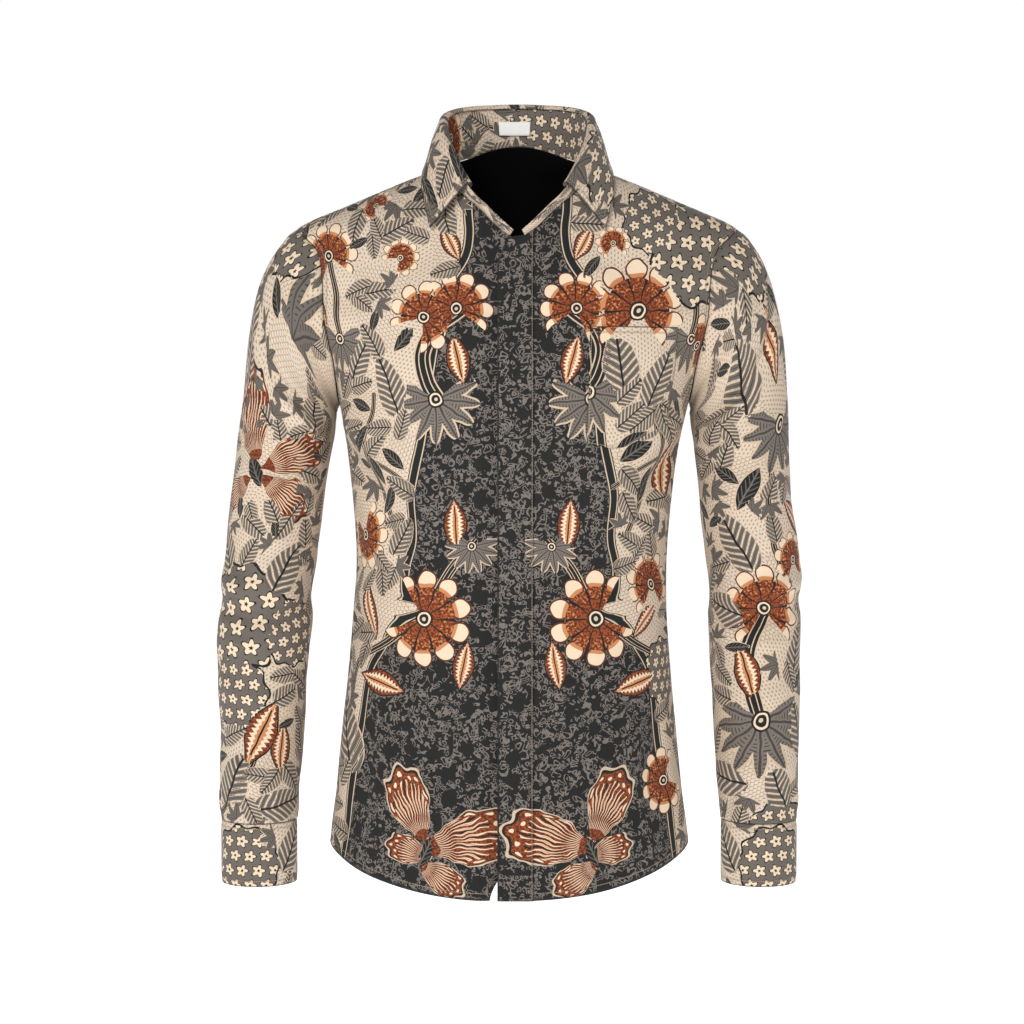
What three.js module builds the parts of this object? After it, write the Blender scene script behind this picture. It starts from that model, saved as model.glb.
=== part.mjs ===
// A men's slim long-sleeved batik shirt, filled out as if worn, hollow inside.
// Millimetres, +Z up, the front faces -Y, the wearer's left is +X.
// The origin is the base of the neck, at the height where shoulder seams meet the stand.

import * as THREE from 'three';

// ---- cloth and making ----

const CLOTH = 1.3;          // one layer of shirting
const DOUBLED = 2.2;        // two layers with interlining: fly, cuffs, collar
const STAND_WALL = 1.6;
const SEAM_GAP = 0.3;       // between pieces at a seam
const HALF_GAP = SEAM_GAP / 2;

// ---- driving dimensions of the shirt ----

const HEM_SIDE = -673;      // height of the hem at the side seams
const HEM_FRONT_DROP = 40;  // the shirt tail hangs this much lower at the centre front
const HEM_BACK_DROP = 48;
const TAIL_ROUND = 1.65;    // how fast the tail curves up towards the side seam
const UNDERARM = -237;      // height of the armhole's lowest point
const SHOULDER_TIP = -66;   // height of its highest
const ARMHOLE_FRONT = 61;   // how far it reaches to the front and to the back
const ARMHOLE_BACK = 66;
const NECK_BACK_RISE = 22;  // the neck seam is this much higher at the centre back

const FLY_EDGE = -13.5;     // x of the fly's free edge
const FLY_STITCH = 21;      // x of its stitch line
const FLY_PROUD = 0.5;      // the doubled fly stands this much above the front
const UNDERLAP_EDGE = 19;   // x of the right front's hidden edge
const UNDERLAP_DEPTH = 3.2; // how far the right front dips under the fly

const SIDE_ROWS = 12;       // rows of facets from the hem to the underarm
const ARM_ROWS = 10;        // and from there to the shoulder tip
const ROWS = SIDE_ROWS + ARM_ROWS;
const AROUND = 2 * ARM_ROWS; // facets round a sleeve

function table(names, rows) {
  return rows.map((row) => Object.fromEntries(names.map((name, i) => [name, row[i]])));
}

// The body of the shirt, one oval ring a row. half: half its width. front, back: its depth
// each way. lean: how far it is shifted sideways. round: under 1 is squarer than an ellipse,
// over 1 comes to a ridge at the shoulder line.
const BODY = table(
  ['z', 'half', 'front', 'back', 'lean', 'round'],
  [
    [-760, 186, 127, 119, -2.5, 0.86],
    [-665, 178.5, 124, 116, -2.5, 0.86],
    [-620, 173, 122, 115, -2.5, 0.86],
    [-560, 167, 119, 111, -2.5, 0.86],
    [-500, 161, 116, 106, -2, 0.86],
    [-440, 156.5, 114, 102, -1.5, 0.86],
    [-395, 155, 114, 101, 0, 0.86],
    [-350, 157.5, 117, 105, 0.5, 0.85],
    [-290, 164, 124, 113, 1, 0.85],
    [-237, 174, 129, 120, 2.5, 0.84],
    [-198, 187, 127, 124, 3.5, 0.84],
    [-175, 199, 122, 125, 4, 0.85],
    [-150, 211, 115, 124, 4.5, 0.88],
    [-115, 220, 103, 120, 5, 0.95],
    [-90, 221, 93, 114, 5.5, 1.02],
    [-66, 219, 83, 106, 5.5, 1.1],
    [-40, 162.5, 73, 96, 6, 1.2],
    [-20, 115, 66, 86, 6, 1.22],
    [0, 68, 58, 76, 6, 1.18],
    [24, 61, 52, 64, 6, 1.0],
  ],
);

// A sleeve from the armhole to the cuff, one ring a row: its outer and inner points as seen
// from the front, half its depth from front to back, and how far the arm comes forward.
const SLEEVE = table(
  ['outerX', 'outerZ', 'innerX', 'innerZ', 'depth', 'forward'],
  [
    [232, -80, 174.8, -239, 62, -1],
    [244, -98, 175.2, -241, 63, -1],
    [256, -128, 175.6, -244, 63.5, 0],
    [265, -172, 176.2, -248, 63, 0],
    [270, -226, 177.6, -256, 61.5, 0],
    [275, -281, 181.5, -286, 59.5, 1],
    [279.5, -333, 187, -335, 57, 3],
    [284.5, -377, 192.5, -378, 55, 6],
    [289, -418, 197.5, -412, 53.5, 9],
    [287.5, -431, 199, -431, 52.5, 10],
    [290.5, -452, 197.5, -450, 52, 11],
    [290, -500, 200.5, -500, 50, 14],
    [288.5, -548, 203.5, -548, 47.5, 17],
    [288, -600, 207, -600, 44, 20],
    [287, -634, 209.5, -634, 41.5, 22],
    [286.5, -649.85, 210.5, -649.85, 39.5, 23],
  ],
);

const CUFF = { top: -650.15, bottom: -713, half: 37.2, depth: 36, centre: 248.8, forward: 24 };
const CUFF_OVERLAP = 28;    // degrees of the cuff that lie on its other end
const CUFF_SLIT = 118;      // where the upper end stops, in degrees from the outside, backwards
const CUFF_LIFT = DOUBLED + SEAM_GAP + 0.2; // how far the upper end stands off the lower one
const CUFF_RAMP = 0.12;     // the share of the band over which it lifts
const CUFF_STEPS = 26;

// The collar, one row a station from the centre back to the front. seam: the neck seam, by
// its x and height on the body. fold: the stand's top edge. edge: the leaf's outer edge.
const BACK_STATIONS = table(
  ['turn', 'foldX', 'foldY', 'foldZ', 'edgeX', 'edgeY', 'edgeZ'],
  [
    [180, 0, 65, 60, 0, 81, 14],
    [157.5, 25, 62, 59, 31, 78, 13],
    [135, 47, 51, 56.5, 58, 65, 9],
    [112.5, 64, 32, 51, 78, 40, 3.5],
    [90, 71.5, 8, 42, 89.5, 8, -3.5],
  ],
);
const FRONT_STATIONS = table(
  ['seamX', 'seamZ', 'foldX', 'foldY', 'foldZ', 'edgeX', 'edgeY', 'edgeZ'],
  [
    [66, -14, 69.5, -20, 23, 92.5, -26, -13],
    [61, -25, 62, -44, 3, 92, -55, -35],
    [53, -36, 47, -67, -29, 84, -83, -70],
    [34, -53, 29, -78, -48],
    [20, -67, 15, -85, -62],
    [7, -77, 4, -89, -72],
  ],
);
const LEAF_STATIONS = BACK_STATIONS.length + 3; // the leaf ends at the third front station
const ROLL = 3.2;           // radius of the collar's fold
const LEAF_BULGE = 3;       // how far the leaf swells below the fold
const ROLL_ANGLES = [0, 60, 120, 180];
const FALL_SHARES = [0.25, 0.5, 0.75, 1];

// The pocket, by its edges' x on the front. Its lower corner sits further in, where the body
// turns away faster, so that its cloth stays one width. point: how far its foot is pointed.
const POCKET = {
  left: 70, right: 155, rightFoot: 148, top: -165, bottom: -276, point: 7, columns: 10, rows: 8,
};
const POCKET_OFF = 0.45;    // between the pocket and the front's true form

// The neck label, by its edges' x and heights. off: between it and the stand.
const LABEL = { left: -20, right: 14, bottom: 33, top: 47, thick: 0.6, off: 0.55, columns: 4 };
const LABEL_REACH = 3;      // it lies within this many of the stand's columns each way

// The cuff button. holeRing: how far its holes' centres are from its own. gap: between it
// and the cuff.
const BUTTON = {
  radius: 5.5, thick: 2, holes: 4, hole: 0.9, holeRing: 1.9, facets: 5, height: -684, gap: 0.6,
};

// ---- small helpers ----

const vec = (x, y, z) => new THREE.Vector3(x, y, z);
const toRadians = THREE.MathUtils.degToRad;
const mix = THREE.MathUtils.lerp;

function signedPower(value, power) {
  return Math.sign(value) * Math.abs(value) ** power;
}

function ease(value, start, end) {
  return THREE.MathUtils.smoothstep(value, start, end);
}

// A smooth curve through one column of a table, against another column that only rises.
function column(rows, key, name) {
  const slopeAt = rows.map((row, i) => {
    const before = rows[Math.max(i - 1, 0)];
    const after = rows[Math.min(i + 1, rows.length - 1)];
    return (after[name] - before[name]) / (after[key] - before[key]);
  });
  return (value) => {
    let i = 0;
    while (i < rows.length - 2 && value > rows[i + 1][key]) i += 1;
    const span = rows[i + 1][key] - rows[i][key];
    const t = (value - rows[i][key]) / span;
    const rise = t * t * (3 - 2 * t);
    const leave = t * (1 - t) * (1 - t) * span * slopeAt[i];
    const arrive = t * t * (t - 1) * span * slopeAt[i + 1];
    return mix(rows[i][name], rows[i + 1][name], rise) + leave + arrive;
  };
}

// ---- the form of the body ----

const halfAt = column(BODY, 'z', 'half');
const frontAt = column(BODY, 'z', 'front');
const backAt = column(BODY, 'z', 'back');
const leanAt = column(BODY, 'z', 'lean');
const roundAt = column(BODY, 'z', 'round');

// The point of the body at a height, turned from the centre front (0) by the side (90) to
// the centre back (180). side is 1 on the wearer's left and -1 on the right.
function bodyPoint(side, turn, z) {
  const angle = toRadians(turn);
  const across = signedPower(Math.sin(angle), roundAt(z));
  const along = signedPower(Math.cos(angle), roundAt(z));
  const depth = along > 0 ? frontAt(z) : backAt(z);
  return vec(side * halfAt(z) * across + leanAt(z), -depth * along, z);
}

const NORMAL_STEP = 0.4;    // degrees and millimetres

function bodyNormal(side, turn, z) {
  const step = NORMAL_STEP;
  const acrossStep = bodyPoint(side, turn + step, z).sub(bodyPoint(side, turn - step, z));
  const upStep = bodyPoint(side, turn, z + step).sub(bodyPoint(side, turn, z - step));
  return acrossStep.cross(upStep).multiplyScalar(side).normalize();
}

// The turn at which the front of the body has a given local x, measured from its own centre.
function turnAtX(localX, z) {
  const share = Math.min(Math.abs(localX) / halfAt(z), 1);
  return Math.sign(localX) * THREE.MathUtils.radToDeg(Math.asin(share ** (1 / roundAt(z))));
}

function hemAt(turn) {
  const inward = Math.abs(Math.cos(toRadians(turn))) ** TAIL_ROUND;
  return HEM_SIDE - inward * (Math.abs(turn) < 90 ? HEM_FRONT_DROP : HEM_BACK_DROP);
}

// The armhole from the tip (0) to the underarm (180), on the front or the back of the body.
function armhole(swing, onBack) {
  const angle = toRadians(swing);
  const z = mix(UNDERARM, SHOULDER_TIP, (1 + Math.cos(angle)) / 2);
  const reach = (onBack ? ARMHOLE_BACK : ARMHOLE_FRONT) * Math.sin(angle);
  const depth = onBack ? backAt(z) : frontAt(z);
  const turn = THREE.MathUtils.radToDeg(Math.acos((reach / depth) ** (1 / roundAt(z))));
  return { turn: onBack ? 180 - turn : turn, z };
}

// ---- closed walls ----

// A closed wall between two grids of points. wraps: the last column joins the first.
function wall(outer, inner, wraps = false) {
  const rows = outer.length;
  const columns = outer[0].length;
  const positions = [...outer.flat(), ...inner.flat()].flatMap((p) => [p.x, p.y, p.z]);
  const innerStart = rows * columns;
  const index = [];
  const quad = (a, b, c, d) => index.push(a, b, c, a, c, d);
  const at = (r, c) => r * columns + (c % columns);
  const lastColumn = wraps ? columns : columns - 1;
  for (let r = 0; r < rows - 1; r += 1) {
    for (let c = 0; c < lastColumn; c += 1) {
      const corners = [at(r, c), at(r, c + 1), at(r + 1, c + 1), at(r + 1, c)];
      quad(...corners);
      quad(...corners.map((k) => k + innerStart).reverse());
    }
  }
  const rim = (a, b) => quad(b, a, a + innerStart, b + innerStart);
  for (let c = 0; c < lastColumn; c += 1) {
    rim(at(0, c), at(0, c + 1));
    rim(at(rows - 1, c + 1), at(rows - 1, c));
  }
  if (!wraps) {
    for (let r = 0; r < rows - 1; r += 1) {
      rim(at(r + 1, 0), at(r, 0));
      rim(at(r, columns - 1), at(r + 1, columns - 1));
    }
  }
  const geometry = new THREE.BufferGeometry();
  geometry.setAttribute('position', new THREE.Float32BufferAttribute(positions, 3));
  geometry.setIndex(volumeOf(positions, index) < 0 ? index.reverse() : index);
  return geometry;
}

function volumeOf(positions, index) {
  const corner = (k) => vec(...positions.slice(3 * k, 3 * k + 3));
  let volume = 0;
  for (let i = 0; i < index.length; i += 3) {
    const [a, b, c] = [corner(index[i]), corner(index[i + 1]), corner(index[i + 2])];
    volume += a.dot(b.cross(c));
  }
  return volume;
}

const HEAD_FADE = 0.35;     // the head's curve reaches this far down, as a share of the height

// A patch of the body between two side edges, each a list of {x, z, turn} from foot to head.
// foot and head give each column's share of the width and its height there. x is local: 0 on
// the body's own middle. The foot's curve fades upwards and the head's fades downwards.
function fillPatch(left, right, foot, head) {
  const last = left.length - 1;
  const offLine = (nodes, r) => nodes.map(({ share, z }) => z - mix(left[r].z, right[r].z, share));
  const footCurve = offLine(foot, 0);
  const headCurve = offLine(head, last);
  return left.map((_, r) => foot.map((__, c) => {
    if (c === 0) return left[r];
    if (c === foot.length - 1) return right[r];
    const t = r / last;
    const share = mix(foot[c].share, head[c].share, t);
    const footFade = (1 - t) ** 2;
    const headFade = Math.max(0, (t - HEAD_FADE) / (1 - HEAD_FADE)) ** 1.5;
    const z = mix(left[r].z, right[r].z, share) + footCurve[c] * footFade + headCurve[c] * headFade;
    const x = mix(left[r].x, right[r].x, share);
    return { x, z, turn: r === last && head[c].turn ? head[c].turn : turnAtX(x, z) };
  }));
}

const lineOf = (count, make) => Array.from({ length: count + 1 }, (_, i) => make(i / count, i));

// ---- sleeves and the seam at the armhole ----

function sleeveRings(side) {
  const swingOf = (k) => (360 * k) / AROUND;
  const armholeRing = Array.from({ length: AROUND }, (_, k) => {
    const onBack = k > ARM_ROWS;
    const { turn, z } = armhole(onBack ? 360 - swingOf(k) : swingOf(k), onBack);
    return bodyPoint(side, turn, z);
  });
  const rings = SLEEVE.map((row) => Array.from({ length: AROUND }, (_, k) => {
    const angle = toRadians(swingOf(k));
    const outward = (1 + Math.cos(angle)) / 2;
    const z = mix(row.innerZ, row.outerZ, outward);
    const x = side * mix(row.innerX, row.outerX, outward) + leanAt(z);
    return vec(x, -row.forward - row.depth * Math.sin(angle), z);
  }));
  return [armholeRing, ...rings];
}

function ringNormals(rings, side) {
  return rings.map((ring, r) => ring.map((_, k) => {
    const before = rings[Math.max(r - 1, 0)][k];
    const after = rings[Math.min(r + 1, rings.length - 1)][k];
    const next = ring[(k + 1) % ring.length];
    const last = ring[(k + ring.length - 1) % ring.length];
    const along = after.clone().sub(before);
    return next.clone().sub(last).cross(along).multiplyScalar(side).normalize();
  }));
}

// For each point of the armhole: the direction of the wall's thickness there, shared by the
// body and the sleeve, and the direction across the seam from the body to the sleeve.
function armholeSeam(side) {
  const rings = sleeveRings(side);
  const normals = ringNormals(rings, side)[0];
  return rings[0].map((point, k) => {
    const onBack = k > ARM_ROWS;
    const swing = (360 * (onBack ? AROUND - k : k)) / AROUND;
    const { turn, z } = armhole(swing, onBack);
    const normal = bodyNormal(side, turn, z).add(normals[k]).normalize();
    const next = rings[0][(k + 1) % AROUND];
    const last = rings[0][(k + AROUND - 1) % AROUND];
    const across = next.clone().sub(last).cross(normal).normalize();
    const towardsSleeve = rings[1][k].clone().sub(point);
    const inTheSleeve = across.dot(towardsSleeve.projectOnPlane(normal)) < 0 ? -1 : 1;
    return { point, normal, across: across.multiplyScalar(inTheSleeve) };
  });
}

const SEAMS = { 1: armholeSeam(1), '-1': armholeSeam(-1) };

function sleeve(side) {
  const rings = sleeveRings(side);
  const normals = ringNormals(rings, side);
  SEAMS[side].forEach(({ point, normal, across }, k) => {
    rings[0][k] = point.clone().addScaledVector(across, HALF_GAP);
    normals[0][k] = normal;
  });
  const inner = rings.map((ring, r) => ring.map((p, k) => (
    p.clone().addScaledVector(normals[r][k], -CLOTH)
  )));
  return wall(rings, inner, true);
}

// ---- panels of the body ----

// Outer and inner points of a panel. offset(side, turn, z) moves its outer face out of the
// body's form; thick is its wall. The armhole and the seams at the side of the body and on
// the shoulder keep their gaps.
function panel(grid, side, onBack, thick = CLOTH, offset = null) {
  const yGap = onBack ? HALF_GAP : -HALF_GAP;
  const outer = [];
  const inner = [];
  grid.forEach((row, r) => {
    outer.push([]);
    inner.push([]);
    row.forEach((node, c) => {
      const nodeSide = node.side ?? side;
      let point = bodyPoint(nodeSide, node.turn, node.z);
      let normal = bodyNormal(nodeSide, node.turn, node.z);
      if (node.arm !== undefined) {
        const seam = SEAMS[nodeSide][node.arm];
        point = seam.point.clone().addScaledVector(seam.across, -HALF_GAP);
        normal = seam.normal;
      }
      if (Math.abs(Math.abs(node.turn) - 90) < 1e-6) point.y += yGap;
      if (offset) point.addScaledVector(normal, offset(nodeSide, point.x));
      outer[r][c] = point;
      inner[r][c] = point.clone().addScaledVector(normal, -thick);
    });
  });
  return wall(outer, inner);
}

function localX(turn, z) {
  return halfAt(z) * signedPower(Math.sin(toRadians(turn)), roundAt(z));
}

const withX = ({ turn, z }) => ({ turn, z, x: localX(turn, z) });

// Side seam and armhole, from the hem up.
function sideEdge(onBack) {
  const seam = lineOf(SIDE_ROWS, (t) => ({ turn: 90, z: mix(HEM_SIDE, UNDERARM, t) }));
  const arm = lineOf(ARM_ROWS, (t, i) => {
    const fromTip = ARM_ROWS - i;
    const index = onBack ? (AROUND - fromTip) % AROUND : fromTip;
    return { ...armhole(180 * (1 - t), onBack), arm: index };
  });
  return [...seam.slice(0, -1), ...arm].map((node) => ({ ...node, x: localX(node.turn, node.z) }));
}

function neckTurn(station) {
  return { turn: turnAtX(station.seamX, station.seamZ), z: station.seamZ };
}

// The neck seam of one front from the innermost station up to the shoulder seam.
const FRONT_NECK = [...FRONT_STATIONS.map(neckTurn).reverse(), { turn: 90, z: 0 }].map(withX);

// Height of the neck seam's lowest stretch at an x.
function neckHeightAt(x) {
  const [upper, lower] = FRONT_STATIONS.slice(-2);
  const local = x - leanAt(lower.seamZ);
  const share = (local - lower.seamX) / (upper.seamX - lower.seamX);
  return mix(lower.seamZ, upper.seamZ, share);
}

function atX(side, x, z) {
  const local = side * (x - leanAt(z));
  return { x: local, turn: turnAtX(local, z), z };
}

// The foot of a front: columns at even turns between its edge and the side seam.
function hemShares(edge, count, firstShares = []) {
  const width = localX(90, HEM_SIDE) - edge.x;
  const firstX = edge.x + width * (firstShares.at(-1) ?? 0);
  const start = firstShares.length ? turnAtX(firstX, HEM_SIDE) : edge.turn;
  const even = lineOf(count, (s) => (localX(mix(start, 90, s), HEM_SIDE) - edge.x) / width);
  return [...firstShares.slice(0, -1), ...even].map((share) => {
    const turn = turnAtX(edge.x + share * width, HEM_SIDE);
    return { share, z: hemAt(turn) };
  });
}

function frontPanel(side, edge, foot, offset) {
  const head = foot.map((_, c) => {
    const share = c / (foot.length - 1);
    return { share, z: mix(0, SHOULDER_TIP, share), turn: 90 };
  });
  return panel(fillPatch(edge, sideEdge(false), foot, head), side, false, CLOTH, offset);
}

const FLY_ROWS = 16;        // rows of the left front below its neck seam
const FLY_TOP = neckHeightAt(FLY_STITCH) - SEAM_GAP;
const FRONT_COLUMNS = 11;

function leftFront() {
  const x = FLY_STITCH + HALF_GAP;
  const foot = hemAt(atX(1, x, HEM_SIDE - HEM_FRONT_DROP).turn);
  const straight = lineOf(FLY_ROWS, (t) => atX(1, x, mix(foot, FLY_TOP, t)));
  const edge = [...straight, ...FRONT_NECK.slice(-(ROWS - FLY_ROWS))];
  return frontPanel(1, edge, hemShares(edge[0], FRONT_COLUMNS));
}

// The right front's hidden edge runs straight under the fly and swings away near the hem,
// which leaves a notch between the two fronts.
const UNDERLAP_ROWS = 15;
const UNDERLAP_TOP = -88;
const UNDERLAP_SHARES = [0, 0.07, 0.125, 0.155, 0.185, 0.22];
const SWING = { start: -640, end: -716, reach: 40 };
const DIP = { start: -18, end: -3 };    // from the fly's edge

function underlapX(z) {
  return UNDERLAP_EDGE - SWING.reach * ease(-z, -SWING.start, -SWING.end);
}

function underFly(side, x) {
  return -UNDERLAP_DEPTH * ease(x, FLY_EDGE + DIP.start, FLY_EDGE + DIP.end);
}

function rightFront() {
  const straight = lineOf(UNDERLAP_ROWS, (t) => {
    const z = mix(hemAt(0) + HALF_GAP, UNDERLAP_TOP, t);
    return atX(-1, underlapX(z), z);
  });
  const edge = [...straight, ...FRONT_NECK];
  return frontPanel(-1, edge, hemShares(edge[0], FRONT_COLUMNS - 2, UNDERLAP_SHARES), underFly);
}

// The fly: its free edge drops from the neck's lowest point to a straight line.
const FLY_CORNER = { x: -3, z: -79.5, straightBelow: -112 };
const FLY_SHARES = [0, 0.31, 0.62, 1];

function flyEdgeX(z) {
  const drop = ease(-z, -FLY_CORNER.z, -FLY_CORNER.straightBelow);
  return mix(FLY_CORNER.x, FLY_EDGE, Math.sqrt(drop));
}

function placket() {
  const x = FLY_STITCH - HALF_GAP;
  const footZ = hemAt(atX(1, x, HEM_SIDE - HEM_FRONT_DROP).turn);
  const left = lineOf(FLY_ROWS, (t) => {
    const z = mix(hemAt(0), FLY_CORNER.z, t);
    return atX(1, flyEdgeX(z), z);
  });
  const right = lineOf(FLY_ROWS, (t) => atX(1, x, mix(footZ, FLY_TOP, t)));
  const lowest = FRONT_STATIONS.at(-1);
  const neckShare = (lowest.seamX + leanAt(lowest.seamZ) - FLY_CORNER.x) / (x - FLY_CORNER.x);
  const foot = FLY_SHARES.map((share) => ({ share, z: mix(hemAt(0), footZ, share) }));
  const head = [
    { share: 0, z: FLY_CORNER.z },
    { share: neckShare / 2, z: mix(FLY_CORNER.z, lowest.seamZ, 0.5) },
    { share: neckShare, z: lowest.seamZ },
    { share: 1, z: FLY_TOP },
  ];
  return panel(fillPatch(left, right, foot, head), 1, false, DOUBLED, () => FLY_PROUD);
}

const BACK_COLUMNS = { shoulder: 5, neck: 8 };

// The back from one side seam to the other, by way of the centre back.
function back() {
  const { shoulder, neck } = BACK_COLUMNS;
  const count = 2 * shoulder + neck;
  const head = Array.from({ length: count + 1 }, (_, c) => {
    const fromEnd = Math.min(c, count - c);
    const mirrored = c === fromEnd ? (share) => share : (share) => 1 - share;
    if (fromEnd <= shoulder) {
      const z = mix(SHOULDER_TIP, 0, fromEnd / shoulder);
      return { share: mirrored(0.5 - halfAt(z) / halfAt(SHOULDER_TIP) / 2), z, turn: 90 };
    }
    const turn = 90 + (180 * (fromEnd - shoulder)) / neck;
    const z = backNeckHeight(turn);
    return { share: mirrored(0.5 - localX(turn, z) / halfAt(SHOULDER_TIP) / 2), z };
  });
  const foot = lineOf(count, (s) => {
    const turn = 90 + 180 * s;
    const across = localX(turn, HEM_SIDE) / halfAt(HEM_SIDE);
    return { share: 0.5 - across / 2, z: hemAt(turn) };
  });
  const left = sideEdge(true);
  const right = left.map((node) => ({ ...node, x: -node.x }));
  const grid = fillPatch(left, right, foot, head).map((row) => row.map((node) => {
    const toTheSide = Math.abs(turnAtX(node.x, node.z));
    const turn = node.arm !== undefined || node.turn === 90 ? node.turn : 180 - toTheSide;
    return { ...node, turn, side: node.x < 0 ? -1 : 1 };
  }));
  return panel(grid, 1, true);
}

function backNeckHeight(turn) {
  return NECK_BACK_RISE * Math.sin(toRadians(turn - 90)) ** 2;
}

// ---- collar ----

// Every station from the right front end, round the back, to the left front end.
function collarStations() {
  const half = (side) => {
    const backs = BACK_STATIONS.map((s) => ({ ...s, z: backNeckHeight(s.turn) }));
    const fronts = FRONT_STATIONS.map((s) => ({ ...s, ...neckTurn(s) }));
    return [...backs, ...fronts].map((s) => {
      const seam = bodyPoint(side, s.turn, s.z);
      const sink = side < 0 && s.turn < 90 ? underFly(side, seam.x) : 0;
      seam.addScaledVector(bodyNormal(side, s.turn, s.z), sink);
      const fold = vec(side * s.foldX + leanAt(0), s.foldY, s.foldZ);
      const edge = s.edgeX === undefined ? null
        : vec(side * s.edgeX + leanAt(0), s.edgeY, s.edgeZ);
      return { seam, fold, edge };
    });
  };
  return [...half(-1).reverse(), ...half(1).slice(1)];
}

// The stations with a smooth one between each two. The seam stays on the panels' facets.
function refine(stations, name) {
  const points = stations.map((s) => s[name]);
  const curve = new THREE.CatmullRomCurve3(points, false, 'centripetal');
  const last = points.length - 1;
  return Array.from({ length: 2 * last + 1 }, (_, i) => (
    i % 2 === 0 ? points[i / 2].clone() : curve.getPoint(i / (2 * last))
  ));
}

function straightBetween(stations) {
  const points = stations.map((s) => s.seam);
  return Array.from({ length: 2 * points.length - 1 }, (_, i) => (
    points[Math.floor(i / 2)].clone().lerp(points[Math.ceil(i / 2)], 0.5)
  ));
}

// Away from the neck's middle, square to a run of points and to the stand.
function outwardOf(run, rises) {
  return run.map((_, i) => {
    const next = run[Math.min(i + 1, run.length - 1)];
    const last = run[Math.max(i - 1, 0)];
    return rises[i].clone().cross(next.clone().sub(last)).normalize();
  });
}

function standFrame() {
  const stations = collarStations();
  const seam = straightBetween(stations);
  const fold = refine(stations, 'fold');
  const rise = seam.map((p, i) => fold[i].clone().sub(p).normalize());
  return { stations, seam, fold, rise, out: outwardOf(fold, rise) };
}

function collarStand() {
  const { seam, fold, rise, out } = standFrame();
  const rows = [0, 0.5, 1].map((t) => seam.map((p, i) => (
    p.clone().addScaledVector(rise[i], SEAM_GAP).lerp(fold[i], t)
  )));
  const inner = rows.map((row) => row.map((p, i) => p.clone().addScaledVector(out[i], -STAND_WALL)));
  return wall(rows, inner);
}

// The leaf rolls over the stand's top edge and falls to its outer edge.
function collar() {
  const { stations, fold, rise, out } = standFrame();
  const lost = stations.length - (2 * LEAF_STATIONS - 1);
  const firstColumn = lost;   // two columns a station, half the lost ones at each end
  const edges = refine(stations.slice(lost / 2, stations.length - lost / 2), 'edge');
  const columns = edges.map((edge, i) => {
    const k = i + firstColumn;
    const start = fold[k].clone()
      .addScaledVector(rise[k], SEAM_GAP)
      .addScaledVector(out[k], -STAND_WALL);
    const middle = start.clone().addScaledVector(out[k], ROLL);
    const roll = ROLL_ANGLES.map((degrees) => {
      const angle = toRadians(degrees);
      const facing = out[k].clone().multiplyScalar(-Math.cos(angle))
        .addScaledVector(rise[k], Math.sin(angle));
      return { point: middle.clone().addScaledVector(facing, ROLL), facing };
    });
    const from = roll.at(-1);
    const drop = edge.clone().sub(from.point);
    const last = fold[Math.max(k - 1, 0)];
    const flat = drop.clone().cross(fold[k + 1].clone().sub(last)).normalize();
    const fall = FALL_SHARES.map((t) => {
      const bulge = LEAF_BULGE * Math.sin(Math.PI * t) * (1 - t);
      const point = from.point.clone().addScaledVector(drop, t).addScaledVector(out[k], bulge);
      return { point, facing: flat };
    });
    return [...roll, ...fall];
  });
  const outer = columns.map((points) => points.map(({ point }) => point));
  const inner = columns.map((points) => points.map(({ point, facing }) => (
    point.clone().addScaledVector(facing, -STAND_WALL)
  )));
  return wall(outer, inner);
}

// ---- pocket, label, cuffs, buttons ----

function pocket() {
  const { left, right, rightFoot, top, bottom, point, columns, rows } = POCKET;
  const outer = [];
  const inner = [];
  for (let r = 0; r <= rows; r += 1) {
    outer.push([]);
    inner.push([]);
    for (let c = 0; c <= columns; c += 1) {
      const share = c / columns;
      const foot = bottom - point * (1 - Math.abs(2 * share - 1));
      const z = mix(foot, top, r / rows);
      const turn = turnAtX(mix(left, mix(rightFoot, right, r / rows), share), z);
      const place = bodyPoint(1, turn, z);
      const normal = bodyNormal(1, turn, z);
      outer[r].push(place.clone().addScaledVector(normal, POCKET_OFF + CLOTH));
      inner[r].push(place.clone().addScaledVector(normal, POCKET_OFF));
    }
  }
  return wall(outer, inner);
}

// The label lies inside the back of the stand, on the line from the seam to the fold.
function neckLabel() {
  const { left, right, bottom, top, thick, off, columns } = LABEL;
  const { seam, fold, out } = standFrame();
  const middle = (seam.length - 1) / 2;
  const pointAt = (x, z) => {
    let k = middle - LABEL_REACH;
    while (k < middle + LABEL_REACH && fold[k + 1].x - leanAt(0) < x) k += 1;
    const share = (x + leanAt(0) - fold[k].x) / (fold[k + 1].x - fold[k].x);
    const low = seam[k].clone().lerp(seam[k + 1], share);
    const high = fold[k].clone().lerp(fold[k + 1], share);
    const point = low.lerp(high, (z - low.z) / (high.z - low.z));
    return { point, outward: out[k].clone().lerp(out[k + 1], share).normalize() };
  };
  const grid = [bottom, top].map((z) => lineOf(columns, (s) => pointAt(mix(left, right, s), z)));
  const moved = (depth) => grid.map((row) => row.map(({ point, outward }) => (
    point.clone().addScaledVector(outward, -STAND_WALL - depth)
  )));
  return wall(moved(off + thick), moved(off));
}

function cuffPoint(side, degrees, z, off) {
  const angle = toRadians(degrees);
  const x = CUFF.centre + (CUFF.half + off) * Math.cos(angle);
  return vec(side * x + leanAt(z), -CUFF.forward + (CUFF.depth + off) * Math.sin(angle), z);
}

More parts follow.
